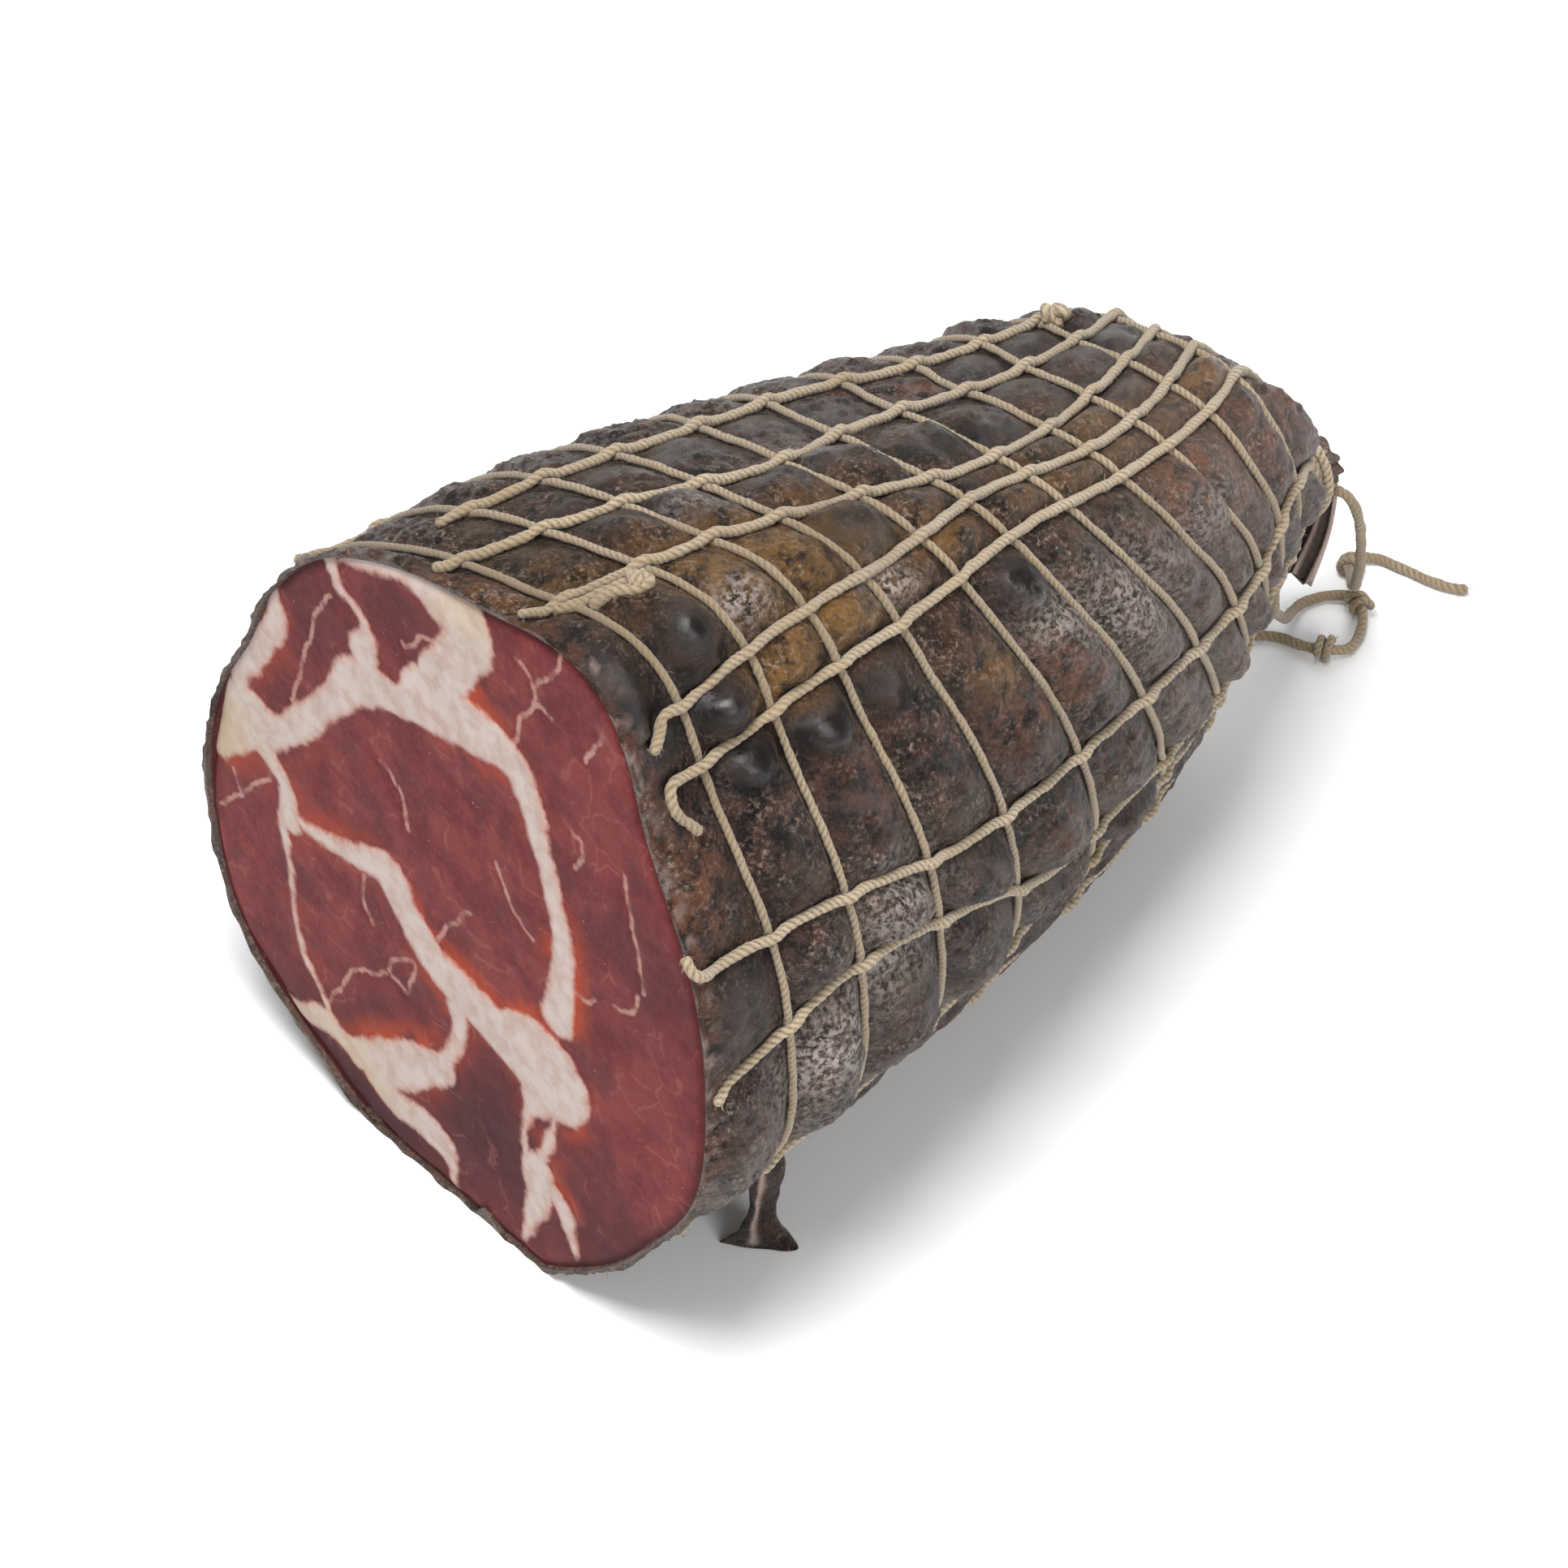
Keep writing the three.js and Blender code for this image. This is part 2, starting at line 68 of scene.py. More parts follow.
# Each traced string: the y of its cut end, and its angle at every 25 mm.
TRACED_STRINGS = [
    (1, [0, 6, 1, -11, -13, -16, -8]),
    (2, [21, 19, 15, 17, 20, 20, 35]),
    (5, [45, 47.5, 51, 56.5, 58.5, 61, 72]),
    (5, [52, 55.5, 59, 64.5, 66, 73, 92]),
    (1, [74, 72, 71, 70, 75, 86, 112]),
    (2, [92, 87, 84.5, 91, 96, 103, 131]),
    (11.5, [106, 104, 107, 113, 114, 120, 150]),
]
TRACE_STEP = 25
EVEN_COUNT, EVEN_FROM, EVEN_STEP, EVEN_START, EVEN_LEAN, EVEN_LEAN_DROP = 9, 129, 24.5, 1.2, 0.27, 0.023
STRING_COUNT = len(TRACED_STRINGS) + EVEN_COUNT
STRING_END_STATION = 8.25

GROOVE = -2.5
CUT_SWELL = 1.5
HOOP_RADIUS = 0.56
STRING_RADIUS = 0.74
CORD_RADIUS = 0.8


# ---- Small helpers ----
def through(values, at, closed=False):
    """A smooth value (Catmull-Rom) through a list, at fractional indices."""
    values = np.asarray(values, float)
    at = np.asarray(at, float)
    count = len(values)
    index = np.floor(at).astype(int)
    part = at - index

    def pick(k):
        return values[k % count] if closed else values[np.clip(k, 0, count - 1)]

    a, b, c, d = (pick(index + step) for step in (-1, 0, 1, 2))
    return b + 0.5 * part * (c - a + part * (2 * a - 5 * b + 4 * c - d + part * (3 * (b - c) + d - a)))


def around(values, angle):
    """A smooth value from a list of values at even steps round the body."""
    return through(values, np.asarray(angle, float) / (360 / len(values)), True)


def smooth(x, low, high):
    """Rises smoothly from 0 at low to 1 at high. With low above high it falls instead."""
    part = np.clip((np.asarray(x, float) - low) / (high - low), 0, 1)
    return part * part * (3 - 2 * part)


def unit(vectors):
    return vectors / np.maximum(np.linalg.norm(vectors, axis=-1, keepdims=True), 1e-9)


def moved(points, *steps):
    """Points moved by steps, each of them a direction and a distance."""
    for direction, distance in steps:
        points = points + direction * np.asarray(distance)[..., None]
    return points


def turn_between(angle, middle):
    """Degrees from the middle to the angle, from -180 to 180."""
    return (angle - middle + 180) % 360 - 180


def turbulence(points, size, seed=0.0):
    """Smooth noise from -1 to 1 at each point, with features about `size` millimetres across."""
    flat = np.asarray(points, float).reshape(-1, 3) / size + seed
    values = [noise.noise(p) for p in flat.tolist()]
    return np.array(values).reshape(np.asarray(points).shape[:-1])


def place(points):
    """Millimetres in the CAD source's own axes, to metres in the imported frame."""
    return np.asarray(points, float) * MM + SHIFT


meat_low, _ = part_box("cured_pork")
binding_low, binding_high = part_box("end_binding")
SHIFT = np.array([(binding_low[0] + binding_high[0]) / 2 - NECK_X * MM, meat_low[1], 0.0])


# ---- The surface ----
def outline(station, angle):
    """A point of the body at a station from 0 to 9 along it and an angle in degrees round it."""
    y = through(STATION_Y, station)
    change = smooth(y, SHAPE_FROM, SHAPE_FROM + SHAPE_OVER)
    shape = (1 - change) * around(CUT_RADII, angle) + change * around(FAR_RADII, angle)
    radius = shape * np.maximum(through(STATION_SCALE, station), 0)
    turn = np.radians(angle)
    x = through(STATION_X, station) + radius * np.cos(turn)
    z = through(STATION_Z, station) + radius * np.sin(turn)
    return np.stack([x, y + 0 * x, z], -1)


def outward(station, angle):
    """The direction straight out of the body there."""
    small = 0.02
    station = np.minimum(station, LAST_STATION - 0.05)
    along = outline(station + small, angle) - outline(np.maximum(station - small, 0), angle)
    round_body = outline(station, angle + 1) - outline(station, angle - 1)
    return unit(np.cross(along, round_body))


def raised(station, angle, height):
    """A point of the body's form, moved straight out by a height."""
    return moved(outline(station, angle), (outward(station, angle), height))


STATION_TABLE = np.linspace(0, LAST_STATION, 1801)
Y_TABLE = np.maximum.accumulate(through(STATION_Y, STATION_TABLE))
RISE_TABLE = np.diff(MEAN_RADIUS * np.maximum(through(STATION_SCALE, STATION_TABLE), 0))
ARC_TABLE = np.r_[0, np.cumsum(np.hypot(np.diff(Y_TABLE), RISE_TABLE))]


def station_at(y):
    return np.interp(y, Y_TABLE, STATION_TABLE)


def arc_at(station):
    """Distance from the cut face along the surface."""
    return np.interp(station, STATION_TABLE, ARC_TABLE)


def hoop_y(hoop, angle):
    ridge, flank, shoulder = HOOPS[hoop]
    return (
        ridge
        + around(FLANK_SHARE, angle) * (flank - ridge)
        + around(SHOULDER_SHARE, angle) * (shoulder - ridge)
    )


def string_angle(number, y):
    if number < len(TRACED_STRINGS):
        return through(TRACED_STRINGS[number][1], np.asarray(y, float) / TRACE_STEP)
    i = number - len(TRACED_STRINGS)
    return EVEN_FROM + i * EVEN_STEP + (EVEN_LEAN - i * EVEN_LEAN_DROP) * np.asarray(y, float)


def string_start(number):
    if number < len(TRACED_STRINGS):
        return TRACED_STRINGS[number][0]
    return EVEN_START + 0.4 * ((number - len(TRACED_STRINGS)) % 3)


# Stains and growths on the casing: y and angle of the middle, reach along y, reach in degrees, strength.
OCHRE = [
    (25, 50, 6, 5, 1.0), (37, 54, 9, 4, 0.75), (59, 60, 8, 5, 0.7), (24, 67, 11, 5, 0.5),
    (38, 62, 10, 6, 0.5), (40, 72, 16, 4, 0.45), (59, 40, 5, 4, 0.8), (128, 68, 7, 6, 0.8),
    (14, 75, 12, 4, 0.3), (84, 62, 14, 5, 0.4), (105, 72, 12, 6, 0.4), (75, 160, 20, 12, 0.3),
    (30, 240, 16, 12, 0.35), (110, 230, 14, 14, 0.3),
]
ORANGE = [
    (71, 34, 9, 6, 0.7), (111, 53, 7, 6, 1.0), (90, 100, 5, 4, 1.0), (30, 33, 6, 6, 0.45),
    (66, 6, 6, 5, 0.4), (5, 32, 4, 9, 0.7), (129, 48, 9, 12, 0.6), (141, 58, 5, 20, 0.9),
    (60, 30, 9, 5, 0.4), (4, 82, 2, 12, 0.5), (142, 110, 5, 16, 0.5), (50, 200, 9, 8, 0.4),
    (120, 150, 8, 10, 0.4), (85, 300, 9, 8, 0.4),
]
MOULD = [
    (20, -5, 8, 8, 1.0), (35, 15, 8, 6, 0.7), (33, 4, 8, 6, 0.8), (88, 40, 12, 9, 0.75),
    (71, 43, 6, 4, 0.6), (47, 56, 4, 3, 0.9), (24, 61, 4, 3, 0.8), (36, 79, 6, 3, 0.4),
    (112, 44, 10, 7, 0.6), (60, -24, 14, 8, 0.3), (12, -22, 10, 9, 0.5), (40, -28, 14, 8, 0.4),
    (100, 20, 14, 10, 0.35), (60, 88, 8, 6, 0.3), (60, 290, 30, 14, 0.4), (100, 180, 24, 20, 0.4),
    (50, 230, 20, 16, 0.4), (75, 140, 18, 12, 0.35),
]
BEADS = [
    (14, 60, 5, 4, 1.0), (14, 52, 5, 4, 1.0), (29, 43, 6, 4, 1.2), (17, 44, 6, 4, 1.1), (68, 50, 5, 4, 1.4),
    (47, 64, 7, 4, 0.9), (40, 45, 5, 4, 0.7), (53, 39, 5, 3, 0.4), (2, 61, 5, 6, 0.8), (5, 52, 4, 6, 0.9),
    (28, 32, 5, 4, 0.7), (6, 15, 5, 9, 0.7), (17, 89, 9, 6, 0.8), (31, 82, 9, 4, 0.9), (55, 82, 9, 5, 0.9),
    (82, 76, 12, 4, 1.0), (123, 92, 8, 8, 1.0), (112, 78, 10, 6, 0.9), (48, 12, 6, 5, 0.4),
    (95, 90, 10, 6, 0.8), (68, 98, 12, 8, 0.6), (110, 106, 14, 9, 0.8), (40, 98, 12, 6, 0.6),
    (120, 200, 20, 30, 0.7), (60, 175, 20, 18, 0.6), (30, 300, 20, 15, 0.5), (90, 270, 30, 20, 0.5),
]
OLIVE = [
    (35, 64, 16, 10, 0.8), (70, 85, 30, 8, 0.3), (45, 106, 20, 10, 0.3), (115, 68, 20, 10, 0.5),
    (90, 66, 16, 8, 0.4), (100, 0, 30, 14, 0.2), (8, 84, 8, 10, 0.5), (60, 150, 40, 20, 0.3),
    (70, 250, 40, 30, 0.3),
]
STAINS = {"bead": BEADS, "ochre": OCHRE, "orange": ORANGE, "mould": MOULD, "olive": OLIVE}
# Round swellings between the twine: y, angle, radius and height in millimetres.
BULGES = [
    (14, 60, 5.4, 3.3), (14.5, 52, 5.0, 3.3), (29, 43.5, 5.6, 3.8), (17, 44, 5.2, 3.6), (68, 50, 5.6, 4.2),
    (47, 64, 6.5, 2.0), (40, 45, 5.4, 2.2), (53, 39, 5, 1.6), (28, 33, 5, 1.6), (41, 35, 5, 1.2),
    (18, 33, 5, 1.6), (111, 50, 8, 2.2), (31, 82, 8, 0.8), (56, 81, 8, 0.9), (82, 78, 8, 0.9),
    (123, 91, 8, 0.4), (128, 62, 8, 1.0), (33, 22, 5, 1.0), (22, 12, 6, 1.2), (48, 12, 6, 1.0),
    (10, 66, 5, 1.0),
]
# Where the pillows are flatter, in the same terms as the stains.
FLATTER = [
    (35, 68, 26, 9, 0.4), (60, 60, 14, 6, 0.3), (130, 60, 20, 30, 0.7), (110, 15, 25, 15, 0.5),
    (112, 42, 16, 14, 0.5), (20, 100, 40, 20, 0.7), (90, 104, 50, 24, 0.7), (60, 88, 60, 10, 0.3),
]


def spots(places, y, angle):
    """From 0 to 1: how strongly soft-edged places on the casing cover each point."""
    total = np.zeros_like(y)
    for middle, turn, reach, width, strength in places:
        off = turn_between(angle, turn) / width
        total += strength * np.exp(-(((y - middle) / reach) ** 2) - off**2)
    return np.clip(total, 0, 1)


PILLOW_CHANCE = np.random.default_rng(11).random((len(HOOPS) + 2, STRING_COUNT, 3))[..., 0]


def line_at(lines, number):
    """At each point, the place of the line with that number."""
    return np.take_along_axis(lines, number[..., None], -1)[..., 0]


def net_place(station, angle):
    """Where points lie in the net: the row and column of their cell, how far across it as fractions u (along
    the body) and v (round it), the cell's length and width, and the points' own y and radius."""
    station, angle = np.broadcast_arrays(np.asarray(station, float), np.asarray(angle, float))
    y = np.interp(station, STATION_TABLE, Y_TABLE)
    arc = arc_at(station)
    lines = [arc_at(station_at(hoop_y(i, angle))) for i in range(len(HOOPS))]
    lines = np.stack([np.full_like(arc, -9.0)] + lines + [np.full_like(arc, ARC_TABLE[-1] + 6)], -1)
    row = np.clip((arc[..., None] >= lines).sum(-1) - 1, 0, len(HOOPS))
    before, after = line_at(lines, row), line_at(lines, row + 1)
    first = string_angle(0, y)
    turn = (angle - first) % 360
    strings = [(string_angle(i, y) - first) % 360 for i in range(STRING_COUNT)]
    strings = np.stack(strings + [np.full_like(y, 360.0)], -1)
    column = np.clip((turn[..., None] >= strings).sum(-1) - 1, 0, STRING_COUNT - 1)
    left, right = line_at(strings, column), line_at(strings, column + 1)
    radius = MEAN_RADIUS * np.maximum(through(STATION_SCALE, station), 0.05)
    length = after - before
    width = np.radians(right - left) * radius
    u = (arc - before) / length
    v = (turn - left) / np.maximum(right - left, 1e-6)
    return row, column, u, v, length, width, y, radius


# Heights and widths of the pillows between the twine, in millimetres.
GROOVE_HALF_WIDTH = 0.6
DOME_BASE = 2.2
PILLOW_SHARE, PILLOW_LOW, PILLOW_HIGH = 0.3, 1.0, 3.8
# How far the casing stays over the floor: by itself, and where twine runs under it.
FLOOR_GAP, TWINE_ROOM, TWINE_ROOM_REACH = 0.02, 3.0, 3.2
# Stands for the distance to a string that is already cut off.
NO_TWINE = 9


def pillow_profile(fraction, size):
    """From 0 in the flat bottom of the groove under the twine up to 1 in the middle of a pillow."""
    half = np.maximum(size / 2, GROOVE_HALF_WIDTH + 0.4)
    inside = (0.5 - np.abs(fraction - 0.5)) * 2 * half
    share = np.clip((inside - GROOVE_HALF_WIDTH) / (half - GROOVE_HALF_WIDTH), 0, 1)
    return (1 - (1 - share) ** 2) ** 0.8


def quilt(station, angle):
    """Height of the casing over the body's form, and how far each point is from a hoop and from a string."""
    row, column, u, v, length, width, y, radius = net_place(station, angle)
    size = np.clip(PILLOW_SHARE * np.minimum(width, length), PILLOW_LOW, PILLOW_HIGH)
    size = size * (0.7 + 0.6 * PILLOW_CHANCE[row, column])
    # Calmer on the left side, which the photo doesn't show, and where the right flank turns under.
    turn_round = (angle + 80) % 360
    left_side = smooth(turn_round, 170, 195) * (1 - smooth(turn_round, 300, 350))
    under = smooth(turn_round, 66, 38)
    size = size * (1 - 0.5 * left_side) * (1 - 0.6 * under) * (1 - 0.8 * spots(FLATTER, y, angle))
    starts = np.array([string_start(i) for i in range(STRING_COUNT)] + [string_start(0)])
    near_start = np.where(v < 0.5, starts[column], starts[column + 1])
    cut_string = smooth(y, near_start - 3, near_start + 1)
    across = pillow_profile(v, width)
    across = 1 - (1 - across) * cut_string
    along = pillow_profile(u, length)
    near_end = smooth(station, 7.7, 8.3)
    swell = size * across * along * (1 - near_end)
    for middle, turn, reach, tall in BULGES:
        off = np.radians(turn_between(angle, turn)) * radius
        dome = (tall + DOME_BASE) * np.sqrt(np.clip(1 - ((y - middle) ** 2 + off**2) / reach**2, 0, 1))
        swell = np.maximum(swell, dome * np.sqrt(across * along))
    height = GROOVE + swell + (CUT_SWELL - swell) * smooth(y, 5.0, 0.5)
    to_hoop = np.minimum(u, 1 - u) * length
    to_string = np.minimum(v, 1 - v) * width
    to_string = np.where(cut_string > 0.3, to_string, NO_TWINE)
    return height, to_hoop, to_string


def lifted(points, clearance):
    """Keeps points at least that far over the floor."""
    points = points.copy()
    points[..., 2] = np.maximum(points[..., 2], clearance)
    return points


# ---- Mesh building ----
def link(name, data):
    """A new object in the scene that shows the data."""
    item = bpy.data.objects.new(name, data)
    bpy.context.scene.collection.objects.link(item)
    return item


def make_mesh(name, vertices, faces, attributes):
    mesh = bpy.data.meshes.new(name)
    mesh.from_pydata([tuple(p) for p in np.asarray(vertices).tolist()], [], faces)
    mesh.update()
    for key, values in attributes.items():
        layer = mesh.attributes.new(key, "FLOAT", "POINT")
        layer.data.foreach_set("value", np.asarray(values, np.float32).ravel())
    mesh.shade_smooth()
    return link(name, mesh)


def grid_faces(rows, columns, closed):
    """Quads of a grid of points stored row by row. `closed` joins the last column to the first."""
    across = columns if closed else columns - 1
    row, column = np.meshgrid(np.arange(rows - 1), np.arange(across), indexing="ij")
    here, beside = row * columns + column, row * columns + (column + 1) % columns
    return np.stack([here, beside, beside + columns, here + columns], -1).reshape(-1, 4).tolist()


def join(parts):
    """Joins several (vertices, faces, shading values) into one."""
    vertices, faces, first = [], [], 0
    for part_vertices, part_faces, _ in parts:
        vertices.append(part_vertices)
        faces += [[k + first for k in face] for face in part_faces]
        first += len(part_vertices)
    values = {key: np.concatenate([part[2][key] for part in parts]) for key in parts[0][2]}
    return np.vstack(vertices), faces, values


def finish_piece(piece, material, node):
    """Gives a piece its material, hangs it on the root body, and hides the CAD node that it replaces."""
    piece.data.materials.append(material)
    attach(piece, "root")
    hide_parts(node)
    return piece


# ---- Twine ----
def resample(points, step, closed=False):
    points = np.asarray(points, float)
    if closed:
        points = np.vstack([points, points[:1]])
    along = np.r_[0, np.cumsum(np.linalg.norm(np.diff(points, axis=0), axis=1))]
    count = max(int(round(along[-1] / step)), 4)
    wanted = np.linspace(0, along[-1], count + 1)
    if closed:
        wanted = wanted[:-1]
    return np.stack([np.interp(wanted, along, points[:, k]) for k in range(3)], -1)


def tangents(points, closed):
    if closed:
        return unit(np.roll(points, -1, 0) - np.roll(points, 1, 0))
    return unit(np.gradient(points, axis=0))


def side_vectors(path_tangents):
    """A direction square to the path at each point, carried along it without twist."""
    first = path_tangents[0]
    start = np.cross(first, [0.3, 0.2, 0.93])
    sides = [start / np.linalg.norm(start)]
    for tangent in path_tangents[1:]:
        side = sides[-1] - tangent * np.dot(sides[-1], tangent)
        sides.append(side / np.linalg.norm(side))
    return np.array(sides)


ROPE_SIDES = 12
ROPE_STEP = 0.42
ROPE_LAY = 3.0
STRANDS = 3
# Where the seeds of the random fibres start for each kind of twine piece.
KNOT_SEED, STRING_SEED, HOOP_SEED, BINDING_SEED = 40, 60, 80, 100
FIBRE_EVERY = 3.2
FIBRE_THICKNESS = 0.045
END_HAIRS = 9
END_TAPER, TAPER_LENGTH = 0.55, 0.8


def fibre(base, lean, out, bend, length):
    """The 7 corners of one loose fibre: a thin three-sided spike with a bend in it."""
    middle = base + lean * length * 0.55
    tip = middle + unit(lean + bend) * length * 0.45
    across = unit(np.cross(lean, out + 0.01))
    up = np.cross(across, lean)
    corners = [(across * a + up * b) * FIBRE_THICKNESS for a, b in ((1, 0), (-0.5, 0.87), (-0.5, -0.87))]
    return [base + corner for corner in corners] + [middle + corner * 0.8 for corner in corners] + [tip]


def fibre_faces(first):
    """The faces of a fibre whose corners start at that number."""
    faces = [[first + 2, first + 1, first]]
    for k in range(3):
        n = (k + 1) % 3
        faces.append([first + k, first + n, first + 3 + n, first + 3 + k])
        faces.append([first + 3 + k, first + 3 + n, first + 6])
    return faces


def loose_fibres(path, tangent, side, other, radius, closed, seed):
    """Fibres that stand off the twine here and there, with more of them at its cut ends."""
    chance = np.random.default_rng(seed)
    count = len(path)
    picks = chance.integers(0, count, int(count * ROPE_STEP / FIBRE_EVERY))
    if not closed:
        frayed = chance.integers(0, 3, END_HAIRS)
        picks = np.r_[picks, frayed, count - 1 - frayed]
    corners = []
    for pick in picks:
        turn = chance.uniform(0, 2 * np.pi)
        out = side[pick] * math.cos(turn) + other[pick] * math.sin(turn)
        lean = unit(tangent[pick] * chance.choice([-1, 1]) * chance.uniform(0.5, 1.6) + out)
        length = chance.uniform(0.5, 1.5)
        bend = chance.normal(0, 0.25, 3)
        corners += fibre(path[pick] + out * radius * 0.75, lean, out, bend, length)
    return corners


def rope(points, radius, seed, closed=False, lay=ROPE_LAY):
    """Vertices, faces and shading values of three-strand twine along a path."""
    path = resample(points, ROPE_STEP, closed)
    count = len(path)
    tangent = tangents(path, closed)
    side = side_vectors(tangent)
    other = np.cross(tangent, side)
    distance = np.arange(count) * ROPE_STEP
    wobble = (turbulence(path, 3.1, seed) * 0.16 + turbulence(path, 8.0, seed + 3) * 0.35) * radius
    path = moved(path, (side, wobble), (other, np.roll(wobble, 7)))
    turn = np.linspace(0, 2 * np.pi, ROPE_SIDES, endpoint=False)
    if closed:
        lay = count * ROPE_STEP / round(count * ROPE_STEP / lay)
    twist = distance * 2 * np.pi / lay + 1.1 * turbulence(path, 4.0, seed + 8)
    # lobes: 1 on a strand's crest, 0 between strands; it shapes the twine and also carries the painted shade
    # between strands.
    lobes = np.abs(np.cos(STRANDS / 2 * (turn[None, :] - twist[:, None])))
    swell = 1 + 0.16 * turbulence(path, 1.7, seed + 5.5) + 0.10 * turbulence(path, 0.8, seed + 2.5)
    if not closed:
        swell = swell * np.minimum(1, END_TAPER + np.minimum(distance, distance[::-1]) / TAPER_LENGTH)
    size = radius * (0.86 + 0.16 * lobes) * swell[:, None]
    ring = moved(path[:, None], (side[:, None], np.cos(turn) * size), (other[:, None], np.sin(turn) * size))
    corners = count * ROPE_SIDES
    rows = count + 1 if closed else count
    faces = (np.array(grid_faces(rows, ROPE_SIDES, True)) % corners).tolist()
    if not closed:
        faces.append(list(range(ROPE_SIDES))[::-1])
        faces.append(list(range(corners - ROPE_SIDES, corners)))
    fibres = loose_fibres(path, tangent, side, other, radius, closed, seed)
    for first in range(corners, corners + len(fibres), 7):
        faces += fibre_faces(first)
    vertices = np.vstack([ring.reshape(-1, 3)] + fibres)
    return vertices, faces, {"strand": np.r_[lobes.ravel(), np.full(len(fibres), 0.9)]}


def twine_piece(name, parts, node, stain=None):
    """One piece of twine in the scene, from its meshes, with how stained each point is."""
    vertices, faces, values = join(parts)
    vertices[:, 2] = np.maximum(vertices[:, 2], FLOOR_GAP)
    values["stain"] = np.zeros(len(vertices)) if stain is None else stain(vertices)
    return finish_piece(make_mesh(name, place(vertices), faces, values), TWINE, node)


def spline(points, per_span=14):
    """A smooth curve through points, as more points."""
    at = np.linspace(0, len(points) - 1, (len(points) - 1) * per_span + 1)
    points = np.asarray(points, float)
    return np.stack([through(points[:, k], at) for k in range(points.shape[1])], -1)


# ---- Materials ----
# The shading values that the casing carries, and those of the meat with what they are behind the cut.
SHADING_KEYS = ("bead", "ochre", "orange", "mould", "olive", "groove", "pale")
INSIDE = {"fat": 4.0, "vein": 9.0, "rim": 1.0, "glow": 0.0, "wine": 0.5, "lump": 0.0}


def srgb(red, green, blue):
    """A colour as seen on screen, from 0 to 255, as the linear colour that a shader takes."""
    values = [c / 255 for c in (red, green, blue)]
    return tuple(c / 12.92 if c <= 0.04045 else ((c + 0.055) / 1.055) ** 2.4 for c in values) + (1.0,)


# The colour sockets of Blender's Mix node: two inputs and the output.
MIX_FIRST, MIX_SECOND, MIX_OUT = 6, 7, 2


class Shader:
    """A material under construction, with short ways to add nodes."""

    def __init__(self, name):
        self.material = bpy.data.materials.new(name)
        self.material.use_nodes = True
        self.tree = self.material.node_tree
        self.surface = self.tree.nodes["Principled BSDF"]
        self.place = self.tree.nodes.new("ShaderNodeTexCoord").outputs["Object"]

    def set(self, socket, value):
        if isinstance(value, bpy.types.NodeSocket):
            self.tree.links.new(value, socket)
        else:
            socket.default_value = value

    def give(self, name, value):
        """Sets an input of the surface shader to a value or a node's output."""
        self.set(self.surface.inputs[name], value)

    def node(self, kind, inputs, **settings):
        """The outputs of a new node, once its settings and inputs are set."""
        node = self.tree.nodes.new("ShaderNode" + kind)
        for key, setting in settings.items():
            setattr(node, key, setting)
        for key, value in inputs.items():
            self.set(node.inputs[key], value)
        return node.outputs

    def value(self, name):
        """A shading value that the mesh carries."""
        return self.node("Attribute", {}, attribute_name=name)["Fac"]

    def math(self, operation, first, second, clamp):
        return self.node("Math", {0: first, 1: second}, operation=operation, use_clamp=clamp)[0]

    def times(self, first, second, clamp=False):
        return self.math("MULTIPLY", first, second, clamp)

    def plus(self, first, second, clamp=False):
        return self.math("ADD", first, second, clamp)

    def minus(self, first, second, clamp=False):
        return self.math("SUBTRACT", first, second, clamp)

    def noise(self, size, detail=4.0, roughness=0.55, kind="FBM"):
        """Noise from 0 to 1 with features about `size` millimetres across."""
        inputs = {"Scale": 1 / (size * MM), "Detail": detail, "Roughness": roughness, "Vector": self.place}
        return self.node("TexNoise", inputs, noise_type=kind)["Fac"]

    def cells(self, size, feature="DISTANCE_TO_EDGE", distortion=0.0):
        """How far each point is from the edge or middle of cells about `size` millimetres across."""
        place = self.place
        if distortion:
            bend = self.node("TexNoise", {"Scale": 1 / (size * 0.8 * MM), "Vector": place})["Color"]
            shift = {0: bend, 1: (distortion * MM,) * 3, 2: place}
            place = self.node("VectorMath", shift, operation="MULTIPLY_ADD")[0]
        inputs = {"Scale": 1 / (size * MM), "Vector": place}
        return self.node("TexVoronoi", inputs, feature=feature)["Distance"]

    def ramp(self, factor, low, high, to_low=0.0, to_high=1.0):
        """Goes smoothly from to_low, where the factor is low, to to_high, where it is high."""
        inputs = {"Value": factor, "From Min": low, "From Max": high, "To Min": to_low, "To Max": to_high}
        return self.node("MapRange", inputs, interpolation_type="SMOOTHSTEP")[0]

    def mix(self, factor, first, second):
        """The first colour where the factor is 0, and the second where it is 1."""
        inputs = {"Factor": factor, MIX_FIRST: first, MIX_SECOND: second}
        return self.node("Mix", inputs, data_type="RGBA")[MIX_OUT]

    def bump(self, height, depth, strength=1.0):
        """Bump where a height of 1 stands for `depth` millimetres."""
        inputs = {"Distance": depth * MM, "Strength": strength, "Height": height}
        self.give("Normal", self.node("Bump", inputs)[0])


def twine_material():
    look = Shader("twine")
    strand = look.value("strand")
    fibre = look.noise(0.35, 5, 0.7)
    broad = look.noise(9, 3, 0.5)
    # Painted highlight and shade: each strand is paler along its crest and darker in the hollows between
    # strands.
    colour = look.mix(look.ramp(strand, 0.15, 0.95), srgb(100, 84, 62), srgb(176, 160, 134))
    colour = look.mix(look.ramp(fibre, 0.35, 0.75, 0.0, 0.55), colour, srgb(124, 104, 74))
    colour = look.mix(look.ramp(broad, 0.4, 0.7, 0.0, 0.35), colour, srgb(142, 118, 80))
    colour = look.mix(look.times(look.value("stain"), 0.85), colour, srgb(104, 86, 60))
    look.give("Base Color", colour)
    look.give("Roughness", 0.82)
    look.give("Sheen Weight", 0.25)
    look.give("Sheen Roughness", 0.5)
    look.bump(look.plus(fibre, look.noise(0.16, 2)), 0.16)
    return look.material


